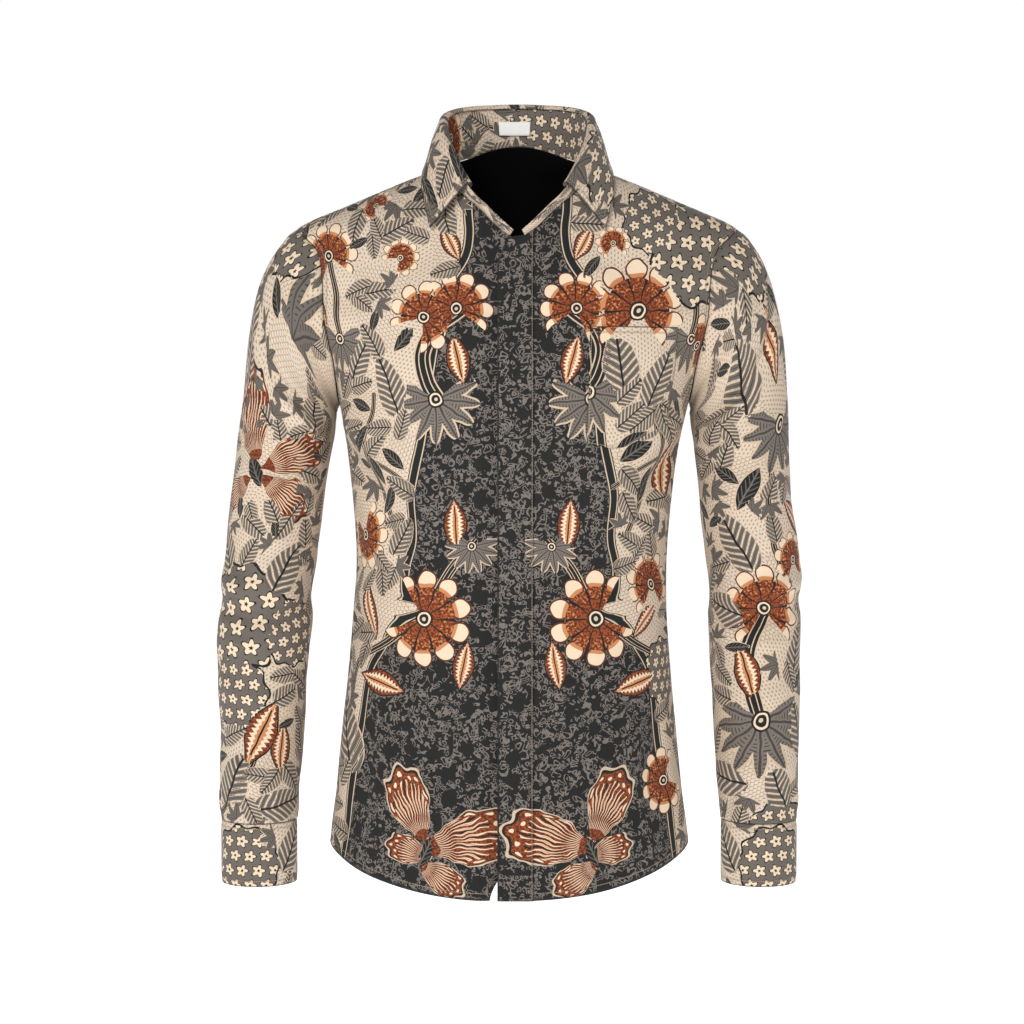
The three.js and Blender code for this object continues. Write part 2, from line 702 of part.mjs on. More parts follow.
// A band a little longer than one turn: its end lies over its beginning.
function cuff(side) {
  const whole = 360 + CUFF_OVERLAP;
  const liftEnd = 1 - CUFF_OVERLAP / whole;
  const rows = [CUFF.bottom, mix(CUFF.bottom, CUFF.top, 0.5), CUFF.top];
  const make = (off) => rows.map((z) => lineOf(CUFF_STEPS, (t) => {
    const lift = CUFF_LIFT * ease(t, liftEnd - CUFF_RAMP, liftEnd);
    return cuffPoint(side, CUFF_SLIT - whole * (1 - t), z, off + lift);
  }));
  return wall(make(0), make(-DOUBLED));
}

// A flat four-holed button, its face square to the cuff's upper end.
function cuffButton(side) {
  const outline = new THREE.Shape().absarc(0, 0, BUTTON.radius, 0, 2 * Math.PI);
  for (let i = 0; i < BUTTON.holes; i += 1) {
    const angle = (2 * Math.PI * (i + 0.5)) / BUTTON.holes;
    const hole = new THREE.Path();
    const ring = BUTTON.holeRing;
    hole.absarc(ring * Math.cos(angle), ring * Math.sin(angle), BUTTON.hole, 0, 2 * Math.PI, true);
    outline.holes.push(hole);
  }
  const geometry = new THREE.ExtrudeGeometry(outline, {
    depth: BUTTON.thick, bevelEnabled: false, curveSegments: BUTTON.facets,
  });
  const turn = CUFF_SLIT - 0.5 * CUFF_OVERLAP;
  const seat = cuffPoint(side, turn, BUTTON.height, CUFF_LIFT + BUTTON.gap);
  const ahead = cuffPoint(side, turn, BUTTON.height, CUFF_LIFT + 2 * BUTTON.gap);
  const facing = ahead.sub(seat).normalize();
  const turned = new THREE.Quaternion().setFromUnitVectors(vec(0, 0, 1), facing);
  return { geometry, seat, turned };
}

// ---- finishes and assembly ----

const finishes = {
  front: { color: 0x4a4038, roughness: 0.82, metalness: 0 },
  print: { color: 0x6e5a48, roughness: 0.82, metalness: 0 },
  sleeve: { color: 0x9c8468, roughness: 0.82, metalness: 0 },
  collar: { color: 0x8c7a66, roughness: 0.8, metalness: 0 },
  label: { color: 0xf4f2ee, roughness: 0.6, metalness: 0 },
  button: { color: 0x2c2722, roughness: 0.35, metalness: 0 },
};

const group = new THREE.Group();

function add(name, geometry, finish) {
  const mesh = new THREE.Mesh(geometry, new THREE.MeshStandardMaterial(finish));
  mesh.name = name;
  group.add(mesh);
  return mesh;
}

add('front_right', rightFront(), finishes.front);
add('front_left', leftFront(), finishes.front);
add('placket', placket(), finishes.front);
add('back', back(), finishes.print);
add('collar_stand', collarStand(), finishes.collar);
add('collar', collar(), finishes.collar);
add('pocket', pocket(), finishes.print);
add('neck_label', neckLabel(), finishes.label);
for (const [side, hand] of [[1, 'left'], [-1, 'right']]) {
  add(`sleeve_${hand}`, sleeve(side), finishes.sleeve);
  add(`cuff_${hand}`, cuff(side), finishes.sleeve);
  const { geometry, seat, turned } = cuffButton(side);
  const button = add(`cuff_button_${hand}`, geometry, finishes.button);
  button.position.copy(seat);
  button.quaternion.copy(turned);
}

export default group;
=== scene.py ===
import math

import bpy
import numpy as np
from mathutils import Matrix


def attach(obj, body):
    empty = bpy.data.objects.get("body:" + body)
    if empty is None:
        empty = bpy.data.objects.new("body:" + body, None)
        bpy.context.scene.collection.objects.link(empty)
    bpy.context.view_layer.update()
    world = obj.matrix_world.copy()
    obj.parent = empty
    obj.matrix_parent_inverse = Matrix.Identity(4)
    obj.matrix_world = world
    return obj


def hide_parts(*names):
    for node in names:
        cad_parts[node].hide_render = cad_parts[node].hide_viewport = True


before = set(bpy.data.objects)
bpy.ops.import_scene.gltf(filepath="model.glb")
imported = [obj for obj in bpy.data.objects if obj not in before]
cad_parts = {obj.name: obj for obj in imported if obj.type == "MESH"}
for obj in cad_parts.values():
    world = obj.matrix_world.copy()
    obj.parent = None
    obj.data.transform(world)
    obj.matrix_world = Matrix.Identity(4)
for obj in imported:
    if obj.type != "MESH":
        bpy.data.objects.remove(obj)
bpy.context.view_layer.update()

# ---- Studio ----
# The shirt hangs filled out on nothing, in a white surround that is dim overhead. One soft
# light is high on one side, a weaker one on the other, and one behind.

MM = 0.001
CAMERA_AWAY = 2.4
CAMERA_RISE = math.radians(3)
CAMERA_TARGET = (0.0005, 0.0, -0.347)
CAMERA_LENS = 84.4
FLOOR_HEIGHT, FLOOR_HALF, FLOOR_GLOW = -0.98, 30, 0.92
SKY_WHITE_BELOW, SKY_DIM_ABOVE, SKY_TOP = 0.18, 0.34, 0.12
LAMPS = (
    # name, watts, width, place
    ("key_light", 52, 0.8, (-0.9, -2.5, 1.1)),
    ("fill_light", 7, 2.0, (1.9, -2.2, 0.1)),
    ("back_light", 22, 1.4, (0.9, 2.7, 1.0)),
)

camera_data = bpy.data.cameras.new("camera")
camera_data.lens = CAMERA_LENS
camera_data.clip_end = 60
camera = bpy.data.objects.new("camera", camera_data)
camera.location = (
    CAMERA_TARGET[0],
    -CAMERA_AWAY * math.cos(CAMERA_RISE),
    CAMERA_TARGET[2] + CAMERA_AWAY * math.sin(CAMERA_RISE),
)
camera.rotation_euler = (math.pi / 2 - CAMERA_RISE, 0, 0)
bpy.context.scene.collection.objects.link(camera)
bpy.context.scene.camera = camera

for lamp_name, watts, across, place in LAMPS:
    lamp = bpy.data.lights.new(lamp_name, "AREA")
    lamp.energy = watts
    lamp.size = across
    lamp_object = bpy.data.objects.new(lamp_name, lamp)
    lamp_object.location = place
    toward = np.array(CAMERA_TARGET) - np.array(place)
    flat_away = math.hypot(toward[0], toward[1])
    tilt, swing = math.atan2(flat_away, -toward[2]), math.atan2(-toward[0], toward[1])
    lamp_object.rotation_euler = (tilt, 0, swing)
    bpy.context.scene.collection.objects.link(lamp_object)

world = bpy.data.worlds.new("surround")
world.use_nodes = True
sky = world.node_tree
sky_place = sky.nodes.new("ShaderNodeTexCoord")
sky_height = sky.nodes.new("ShaderNodeSeparateXYZ")
sky_shade = sky.nodes.new("ShaderNodeMapRange")
sky.links.new(sky_place.outputs["Generated"], sky_height.inputs[0])
sky.links.new(sky_height.outputs["Z"], sky_shade.inputs["Value"])
for socket_name, value in (("From Min", SKY_WHITE_BELOW), ("From Max", SKY_DIM_ABOVE),
                           ("To Min", 1.0), ("To Max", SKY_TOP)):
    sky_shade.inputs[socket_name].default_value = value
sky.links.new(sky_shade.outputs[0], sky.nodes["Background"].inputs["Strength"])
sky.nodes["Background"].inputs["Color"].default_value = (1, 1, 1, 1)
bpy.context.scene.world = world
bpy.context.scene.view_settings.view_transform = "Standard"

floor_mesh = bpy.data.meshes.new("floor")
floor_corners = [(FLOOR_HALF * x, FLOOR_HALF * y, FLOOR_HEIGHT)
                 for x, y in ((-1, -1), (1, -1), (1, 1), (-1, 1))]
floor_mesh.from_pydata(floor_corners, [], [(0, 1, 2, 3)])
floor = bpy.data.objects.new("floor", floor_mesh)
bpy.context.scene.collection.objects.link(floor)
floor_paint = bpy.data.materials.new("floor_paint")
floor_paint.use_nodes = True
floor_shader = floor_paint.node_tree.nodes["Principled BSDF"]
floor_shader.inputs["Base Color"].default_value = (0.85, 0.85, 0.85, 1)
floor_shader.inputs["Roughness"].default_value = 0.9
floor_shader.inputs["Emission Color"].default_value = (1, 1, 1, 1)
floor_shader.inputs["Emission Strength"].default_value = FLOOR_GLOW
floor_mesh.materials.append(floor_paint)


# ---- Right front ----
# The wearer's right front: one layer of printed cotton from the side seam to an edge that
# lies hidden under the fly. The form of the whole body of the shirt is set out here.

BODY = np.array([
    # height, half width, front depth, back depth, lean, roundness
    (-760, 186, 127, 119, -2.5, 0.86),
    (-665, 178.5, 124, 116, -2.5, 0.86),
    (-620, 173, 122, 115, -2.5, 0.86),
    (-560, 167, 119, 111, -2.5, 0.86),
    (-500, 161, 116, 106, -2, 0.86),
    (-440, 156.5, 114, 102, -1.5, 0.86),
    (-395, 155, 114, 101, 0, 0.86),
    (-350, 157.5, 117, 105, 0.5, 0.85),
    (-290, 164, 124, 113, 1, 0.85),
    (-237, 174, 129, 120, 2.5, 0.84),
    (-198, 187, 127, 124, 3.5, 0.84),
    (-175, 199, 122, 125, 4, 0.85),
    (-150, 211, 115, 124, 4.5, 0.88),
    (-115, 220, 103, 120, 5, 0.95),
    (-90, 221, 93, 114, 5.5, 1.02),
    (-66, 219, 83, 106, 5.5, 1.1),
    (-40, 162.5, 73, 96, 6, 1.2),
    (-20, 115, 66, 86, 6, 1.22),
    (0, 68, 58, 76, 6, 1.18),
    (24, 61, 52, 64, 6, 1.0),
])
HEM_SIDE, HEM_FRONT_DROP, HEM_BACK_DROP, TAIL_ROUND = -673, 40, 48, 1.65
UNDERARM, SHOULDER_TIP = -237, -66
ARMHOLE_FRONT, ARMHOLE_BACK = 61, 66
SIDE_SHARE = 12 / 22
NECK = np.array([(7, -77), (20, -67), (34, -53), (53, -36), (61, -25), (66, -14), (68, 0)])
FLY_EDGE, FLY_STITCH, FLY_TOP = -13.5, 21.0, -70.8
UNDERLAP_EDGE, UNDERLAP_TOP, UNDERLAP_DEPTH = 19, -88, 3.2
UNDERLAP_SWING, SWING_START, SWING_END = 40, -640, -716
HEAD_FROM = 0.35
SHIRTING = 0.8
SEWN_REACH, STITCH_IN, STITCH_LONG, FOLD_SHADE = 14.0, 5.5, 2.6, 0.9
DETAIL = 2


def through(keys, values):
    """A smooth curve through the values: cubic between each two, with each value's slope the
    one between its neighbours."""
    keys, values = np.asarray(keys, float), np.asarray(values, float)
    before = np.r_[0, np.arange(len(keys) - 1)]
    after = np.r_[np.arange(1, len(keys)), len(keys) - 1]
    apart = (keys[after] - keys[before]).reshape(-1, *([1] * (values.ndim - 1)))
    slope = (values[after] - values[before]) / apart

    def curve(x):
        x = np.asarray(x, float)
        i = np.clip(np.searchsorted(keys, x, side="right") - 1, 0, len(keys) - 2)
        shape = x.shape + (1,) * (values.ndim - 1)
        span = (keys[i + 1] - keys[i]).reshape(shape)
        t = (x - keys[i]).reshape(shape) / span
        ease = t * t * (3 - 2 * t)
        return (values[i] * (1 - ease) + values[i + 1] * ease
                + t * (1 - t) ** 2 * span * slope[i] + t * t * (t - 1) * span * slope[i + 1])
    return curve


half_at, front_at, back_at, lean_at, round_at = (through(BODY[:, 0], BODY[:, c]) for c in range(1, 6))


def smooth(x, start, end):
    """0 before start, 1 after end, an S curve between."""
    t = np.clip((x - start) / (end - start), 0, 1)
    return t * t * (3 - 2 * t)


def signed_power(value, power):
    """A power of the value's size, with the value's sign."""
    return np.sign(value) * np.abs(value) ** power


def body_point(side, turn, z):
    """The body at a height, turned from the centre front (0) by the side (90) to the back
    (180): an oval, its sine and cosine raised to the roundness."""
    angle = np.radians(turn)
    across = signed_power(np.sin(angle), round_at(z))
    along = signed_power(np.cos(angle), round_at(z))
    depth = np.where(along > 0, front_at(z), back_at(z))
    return np.stack(np.broadcast_arrays(side * half_at(z) * across + lean_at(z), -depth * along, z), -1)


def local_x(turn, z):
    """How far to the side a turn lies at a height, without the lean."""
    return half_at(z) * signed_power(np.sin(np.radians(turn)), round_at(z))


def turn_at_x(x, z):
    """The turn of the place that lies x to the side at a height: local_x undone."""
    share = np.minimum(np.abs(x) / half_at(z), 1)
    return np.sign(x) * np.degrees(np.arcsin(share ** (1 / round_at(z))))


def cloth_between(start, turn, z):
    """Length of cloth between two turns at one height: a sum of short chords."""
    steps = np.linspace(0, 1, 25).reshape(-1, *([1] * np.ndim(turn)))
    points = body_point(1, start + steps * (turn - start), z + 0 * steps)
    return np.sign(turn - start) * np.linalg.norm(np.diff(points, axis=0), axis=-1).sum(0)


def hem_at(turn):
    """The shirt tail's height: lowest at the middle, by the cosine raised to its roundness."""
    inward = np.abs(np.cos(np.radians(turn))) ** TAIL_ROUND
    return HEM_SIDE - inward * np.where(np.abs(turn) < 90, HEM_FRONT_DROP, HEM_BACK_DROP)


def armhole(swing, on_back):
    """The armhole from the shoulder tip (0) to the underarm (180): an ellipse seen from the
    side, laid on the body."""
    angle = np.radians(swing)
    z = UNDERARM + (SHOULDER_TIP - UNDERARM) * (1 + np.cos(angle)) / 2
    reach = np.where(on_back, ARMHOLE_BACK, ARMHOLE_FRONT) * np.sin(angle)
    depth = np.where(on_back, back_at(z), front_at(z))
    turn = np.degrees(np.arccos(np.clip(reach / depth, 0, 1) ** (1 / round_at(z))))
    return np.where(on_back, 180 - turn, turn), z


def side_edge(t, on_back):
    """Side seam and armhole by share of the way from the hem to the shoulder tip."""
    up = np.clip(t / SIDE_SHARE, 0, 1)
    swing = 180 * (1 - np.clip((t - SIDE_SHARE) / (1 - SIDE_SHARE), 0, 1))
    arm_turn, arm_z = armhole(swing, on_back)
    turn = np.where(t < SIDE_SHARE, 90, arm_turn)
    z = np.where(t < SIDE_SHARE, HEM_SIDE + (UNDERARM - HEM_SIDE) * up, arm_z)
    return local_x(turn, z), z, turn


def fill_patch(t, left, right, foot_share, foot_z, head_share, head_z):
    """A patch between two side edges (x, z): straight across, plus the foot's curve fading
    upwards and the head's fading downwards."""
    lx, lz = left
    rx, rz = right
    share = foot_share * (1 - t) + head_share * t
    foot_curve = foot_z - (lz[:1] * (1 - foot_share) + rz[:1] * foot_share)
    head_curve = head_z - (lz[-1:] * (1 - head_share) + rz[-1:] * head_share)
    head_fade = np.clip((t - HEAD_FROM) / (1 - HEAD_FROM), 0, 1) ** 1.5
    z = lz * (1 - share) + rz * share + foot_curve * (1 - t) ** 2 + head_curve * head_fade
    return lx * (1 - share) + rx * share, z


def front_panel(edge_x, edge_z, columns, rows):
    """Turn and height over a front, from its centre edge to the side seam and armhole."""
    t = np.linspace(0, 1, rows)[:, None]
    s = np.linspace(0, 1, columns)[None, :]
    right_x, right_z, right_turn = side_edge(t, False)
    left_x, left_z = edge_x(t), edge_z(t)
    width = half_at(HEM_SIDE) - left_x[0, 0]
    start = turn_at_x(left_x[0, 0], HEM_SIDE)
    foot_turn = start + (90 - start) * s
    foot_share = (local_x(foot_turn, HEM_SIDE) - left_x[0, 0]) / width
    x, z = fill_patch(t, (left_x, left_z), (right_x, right_z), foot_share, hem_at(foot_turn),
                      s, SHOULDER_TIP * s)
    turn = turn_at_x(x, z)
    turn[:, -1], z[:, -1] = right_turn[:, 0], right_z[:, 0]
    turn[-1] = 90
    return turn, z, s + 0 * t, t + 0 * s


def normals_of(grid, wraps=False):
    """Unit normals of a grid of points: the cross product of its two differences."""
    around = np.roll(grid, -1, 1) - np.roll(grid, 1, 1) if wraps else np.gradient(grid, axis=1)
    normal = np.cross(around, np.gradient(grid, axis=0))
    return normal / np.maximum(np.linalg.norm(normal, axis=-1, keepdims=True), 1e-9)


def creased(u, v, creases):
    """Height of the cloth over its form. Each crease is a soft ridge or trough along a bowed
    line from one end to the other, fading at both ends, with a shallow opposite beside it."""
    height = np.zeros(np.broadcast(u, v).shape)
    for u0, v0, u1, v1, width, rise in creases:
        length = math.hypot(u1 - u0, v1 - v0)
        du, dv = (u1 - u0) / length, (v1 - v0) / length
        along = ((u - u0) * du + (v - v0) * dv) / length
        off = (u - u0) * -dv + (v - v0) * du + 0.07 * length * np.sin(3.1 * along)
        ends = np.clip(1 - ((along - 0.5) / 0.62) ** 2, 0, 1) ** 1.5
        wide = width * (0.75 + 0.5 * along.clip(0, 1))
        height += rise * ends * np.exp(-((off / wide) ** 2))
        height -= 0.4 * rise * ends * np.exp(-(((np.abs(off) - 1.8 * wide) / wide) ** 2))
    return height


def uneven(u, v, seed, scale, height):
    """A slow unevenness: waves of several lengths and directions added together."""
    draw = np.random.default_rng(seed)
    total = np.zeros(np.broadcast(u, v).shape)
    for _ in range(9):
        angle, phase = draw.uniform(0, np.pi), draw.uniform(0, 2 * np.pi)
        wave = scale * draw.uniform(0.5, 1.6)
        total += np.sin((u * np.cos(angle) + v * np.sin(angle)) * 2 * np.pi / wave + phase) * wave / scale
    return total * height / 4


def cloth(name, grid, u, v, thick, turned=False, wraps=False):
    """A mesh from a grid of points in millimetres, with its cloth coordinates as a UV map and
    a thin wall inwards. turned reverses the faces; wraps joins the last column to the first."""
    rows, columns = grid.shape[:2]
    index = np.arange(rows * columns).reshape(rows, columns)
    if wraps:
        index = np.concatenate([index, index[:, :1]], 1)
    around = lambda a: np.stack([a[:-1, :-1], a[:-1, 1:], a[1:, 1:], a[1:, :-1]], -1)
    quads, corner_u, corner_v = around(index), around(u), around(v)
    if turned:
        quads, corner_u, corner_v = quads[..., ::-1], corner_u[..., ::-1], corner_v[..., ::-1]
    mesh = bpy.data.meshes.new(name)
    mesh.from_pydata(grid.reshape(-1, 3) * MM, [], quads.reshape(-1, 4))
    uv = mesh.uv_layers.new(name="cloth")
    uv.data.foreach_set("uv", (np.stack([corner_u.ravel(), corner_v.ravel()], -1) * MM).ravel())
    mesh.polygons.foreach_set("use_smooth", np.ones(len(mesh.polygons), bool))
    mesh.update()
    piece = bpy.data.objects.new(name, mesh)
    bpy.context.scene.collection.objects.link(piece)
    wall = piece.modifiers.new("wall", "SOLIDIFY")
    wall.thickness = thick * MM
    wall.offset = -1
    wall.material_offset = 1
    return piece


def stitch(piece, grid, plain=None, **sides):
    """Keeps at each point how near it lies, over the cloth, to the nearest of the given sides
    of its grid: SEWN_REACH at the side itself, less each millimetre from it, down to 0. A
    side's own number moves its stitches that much nearer to it. A plain side is a fold with
    no stitches, and counts below 0. The shader paints shade along the sides and the fold from
    this."""
    across = np.linalg.norm(np.diff(grid, axis=1), axis=-1)
    up = np.linalg.norm(np.diff(grid, axis=0), axis=-1)
    away = {
        "left": np.pad(across.cumsum(1), ((0, 0), (1, 0))),
        "right": np.pad(across[:, ::-1].cumsum(1), ((0, 0), (1, 0)))[:, ::-1],
        "foot": np.pad(up.cumsum(0), ((1, 0), (0, 0))),
        "head": np.pad(up[::-1].cumsum(0), ((1, 0), (0, 0)))[::-1],
    }
    nearest = np.min([away[side] + nearer for side, nearer in sides.items()], axis=0)
    near = np.clip(SEWN_REACH - nearest, 0, None)
    if plain:
        folded = np.clip(SEWN_REACH + FOLD_SHADE - away[plain], 0, None)
        near = np.where(folded > near, -folded, near)
    attribute = piece.data.attributes.new("sewn", "FLOAT", "POINT")
    attribute.data.foreach_set("value", near.ravel())


def cloth_corners(piece):
    """The cloth coordinates of each face's corners, in millimetres."""
    uv = np.empty(len(piece.data.loops) * 2)
    piece.data.uv_layers["cloth"].data.foreach_get("uv", uv)
    return uv.reshape(-1, 4, 2) / MM


# The print, charted. Its dark middle is a lobed field, by its half width at a height.
FIELD = np.array([
    (-760, 188), (-640, 176), (-560, 160), (-500, 146), (-466, 128), (-445, 104), (-438, 86),
    (-431, 84), (-425, 100), (-400, 105), (-370, 98), (-330, 99), (-300, 93), (-270, 88),
    (-200, 80), (-150, 72), (-125, 66), (-98, 50), (-75, 46), (-50, 48), (40, 50),
])
field_half = through(FIELD[:, 0], FIELD[:, 1])
FAN, DAISY, POD, LEAF, STARS, WING, SPRAY, FERN = range(1, 9)
# How far from its place each kind reaches, by kind: ahead of it, along it and across it, as
# shares of its size.
REACH = np.array([(0, 1, 1), (0, 1, 1), (0.25, 0.9, 0.9), (0, 1, 0.5), (0, 1, 0.42), (0, 1, 1),
                  (0.52, 0.55, 0.42), (0.3, 0.75, 0.75), (0, 1, 0.6)])
# Motifs by their place as seen from the front: x from the middle, height, size, turn, kind.
# These are the same on both fronts, mirrored.
SLIM_BELOW, SLIM_SHARE, SPRIG_GAP, SPRIG_STEP = 0.7, 0.7, 7, 21
MOTIF_MARGIN, STEM_MARGIN, NO_STEM = 1.6, 4, 99
BODY_SPREAD, FRONT_HEIGHTS, BACK_HEIGHTS = 265, (-712, -10), (-720, 10)
BODY_MOTIFS = (
    (57, -147, 35, 75, FAN), (82, -444, 46, 200, FAN),
    (74, -234, 42, -92, DAISY), (38, -374, 26, -80, DAISY), (170, -176, 34, -85, DAISY),
    (64, -84, 20, 62, POD), (54, -196, 25, 76, POD), (54, -354, 26, 86, POD),
    (44, -488, 24, 100, POD), (124, -508, 28, 15, POD),
    (78, -662, 84, 66, WING), (84, -664, 96, 168, WING), (72, -672, 52, 12, WING),
    (88, -676, 56, 214, WING), (80, -668, 20, 118, LEAF),
)
# These are only on the wearer's right front, and the next only on the left.
RIGHT_MOTIFS = (
    (183, -95, 33, 70, FAN), (88, -156, 34, 130, FAN), (192, -146, 22, 65, POD),
    (138, -46, 17, 40, FAN), (112, -98, 19, 140, FAN), (142, -366, 34, 250, FAN),
    (135, -440, 27, 84, POD), (144, -272, 17, 120, LEAF), (130, -302, 17, 60, LEAF),
    (120, -330, 17, 118, LEAF), (112, -290, 16, 40, LEAF), (150, -240, 15, 20, LEAF),
    (104, -174, 19, 130, LEAF), (158, -560, 42, 70, FERN), (120, -222, 30, 70, FERN),
    (150, -196, 26, 120, FERN),
)
LEFT_MOTIFS = (
    (116, -150, 50, 92, FAN), (92, -84, 17, 100, FAN), (176, -182, 30, 60, FAN),
    (176, -92, 56, 0, STARS), (134, -62, 36, 30, STARS), (150, -300, 40, 78, POD),
    (116, -282, 21, 30, LEAF), (128, -316, 20, 70, LEAF), (136, -414, 34, 90, FAN),
    (152, -606, 32, 200, FAN), (132, -446, 24, 50, POD), (150, -500, 34, 60, STARS),
    (104, -208, 34, 100, FERN), (140, -222, 30, 70, FERN),
)
# Stems by their half width and the places they run through, as seen from the front.
BODY_STEMS = (
    (7.5, ((56, -150), (76, -166), (88, -191), (83, -217), (73, -234))),
    (4.2, ((82, -444), (60, -400), (38, -374))),
    (3.0, ((137, -235), (139, -262), (138, -295), (126, -330), (112, -362))),
    (2.4, ((138, -290), (116, -302), (98, -315))),
    (4.0, ((84, -444), (112, -462), (146, -490), (156, -540))),
    (3.6, ((183, -95), (176, -130), (172, -158), (169, -176))),
)


def sprigs(table, seed, u_range, v_range, keep=None, step=SPRIG_STEP):
    """A table of motifs with ferns, sprays and leaves added at random in its gaps: a jittered
    lattice, less what lies near a motif."""
    draw = np.random.default_rng(seed)
    u, v = np.meshgrid(np.arange(*u_range, step), np.arange(*v_range, step * 0.9))
    u = (u + draw.uniform(-0.3, 0.3, u.shape) * step).ravel()
    v = (v + draw.uniform(-0.3, 0.3, v.shape) * step).ravel()
    apart = np.hypot(u[:, None] - table[None, :, 0], v[:, None] - table[None, :, 1])
    reach = REACH[table[:, 4].astype(int)]
    wide = reach.max(1).clip(0, 1) * np.where(reach[:, 2] < SLIM_BELOW, SLIM_SHARE, 1)
    free = (apart > table[None, :, 2] * wide * 0.85 + SPRIG_GAP).all(1)
    if keep is not None:
        free &= keep(u, v)
    kinds = draw.choice([FERN, SPRAY, LEAF], len(u), p=[0.5, 0.34, 0.16])
    size = draw.uniform(14, 21, len(u)) * np.where(kinds == LEAF, 0.8, 1)
    return np.concatenate([table, np.stack([u, v, size, draw.uniform(0, 360, len(u)), kinds], -1)[free]])


def placed(motifs, side, seed, heights):
    """Motifs moved from where they are seen to cloth coordinates, and sprigs round them."""
    table = np.array(motifs, float)
    table[:, 0] = cloth_between(0, turn_at_x(table[:, 0], table[:, 1]), table[:, 1])
    table = sprigs(table, seed, (10, BODY_SPREAD), heights, lambda u, v: u > field_half(v) + 8)
    if side < 0:
        table[:, 0], table[:, 3] = -table[:, 0], 180 - table[:, 3]
    return table


def flowing(line):
    """Points between a line's own, on a smooth curve through them."""
    return through(np.arange(len(line)), line)(np.linspace(0, len(line) - 1, 6 * len(line)))


def on_cloth(stem, side):
    """A stem's half width, and its flowing line moved from where it is seen to the cloth."""
    half, line = stem
    seen = flowing(line)
    u = cloth_between(0, turn_at_x(seen[:, 0], seen[:, 1]), seen[:, 1])
    return half, np.stack([side * u, seen[:, 1]], -1)


def print_motifs(piece, table):
    """Each face takes the motif nearest for its size and shape, and each of its corners its own
    place on the motif: along and across it, as shares of its size, with its kind."""
    corners = cloth_corners(piece)
    middle = corners.mean(1)[:, None]
    turn = np.radians(table[:, 3])
    cos, sin, size = np.cos(turn), np.sin(turn), table[:, 2]
    ahead, along_reach, across_reach = REACH[table[:, 4].astype(int)].T
    off_u, off_v = middle[..., 0] - table[:, 0], middle[..., 1] - table[:, 1]
    along = ((off_u * cos + off_v * sin) / size - ahead) / along_reach
    across = (off_v * cos - off_u * sin) / size / across_reach
    reach = np.hypot(along, across)
    nearest = reach.argmin(1)
    off = corners - table[nearest, None, :2]
    cos, sin, size = cos[nearest, None], sin[nearest, None], size[nearest, None]
    p = (off[..., 0] * cos + off[..., 1] * sin) / size
    q = (off[..., 1] * cos - off[..., 0] * sin) / size
    kind = np.where(reach.min(1) < MOTIF_MARGIN, table[nearest, 4], 0)[:, None] + 0 * p
    motif = piece.data.attributes.new("motif", "FLOAT_VECTOR", "CORNER")
    motif.data.foreach_set("vector", np.stack([p, q, kind], -1).ravel())


def print_stems(piece, stems):
    """Signed distance from each face's nearest stretch of stem, at its corners, as a share of
    the stem's half width."""
    corners = cloth_corners(piece)
    middle = corners.mean(1)
    start = np.concatenate([line[:-1] for _, line in stems])
    stretch = np.concatenate([np.diff(line, axis=0) for _, line in stems])
    half = np.concatenate([np.full(len(line) - 1, wide) for wide, line in stems])
    length = np.linalg.norm(stretch, axis=1)
    stretch /= length[:, None]
    offset = middle[:, None] - start[None]
    along = np.clip((offset * stretch[None]).sum(-1), 0, length)
    apart = np.linalg.norm(offset - along[..., None] * stretch[None], axis=-1) / half
    nearest = apart.argmin(1)
    from_start = corners - start[nearest][:, None]
    to = stretch[nearest][:, None]
    signed = from_start[..., 0] * to[..., 1] - from_start[..., 1] * to[..., 0]
    half = half[nearest, None]
    signed = np.where(apart.min(1)[:, None] < 1 + STEM_MARGIN / half, signed / half, NO_STEM)
    stem = piece.data.attributes.new("stem", "FLOAT", "CORNER")
    stem.data.foreach_set("value", signed.ravel())


def print_field(piece):
    """Signed distance in millimetres from the dark field's border, at each corner."""
    corners = cloth_corners(piece)
    u, v = corners[..., 0], corners[..., 1]
    slope = (field_half(v + 1) - field_half(v - 1)) / 2
    distance = (np.abs(u) - field_half(v)) / np.sqrt(1 + slope ** 2)
    field = piece.data.attributes.new("field", "FLOAT", "CORNER")
    field.data.foreach_set("value", distance.ravel())


def print_front(piece, side, motifs, seed):
    """A front's whole print: the dark field, the motifs and the stems."""
    print_field(piece)
    print_motifs(piece, placed(BODY_MOTIFS + motifs, side, seed, FRONT_HEIGHTS))
    print_stems(piece, [on_cloth(stem, side) for stem in BODY_STEMS])


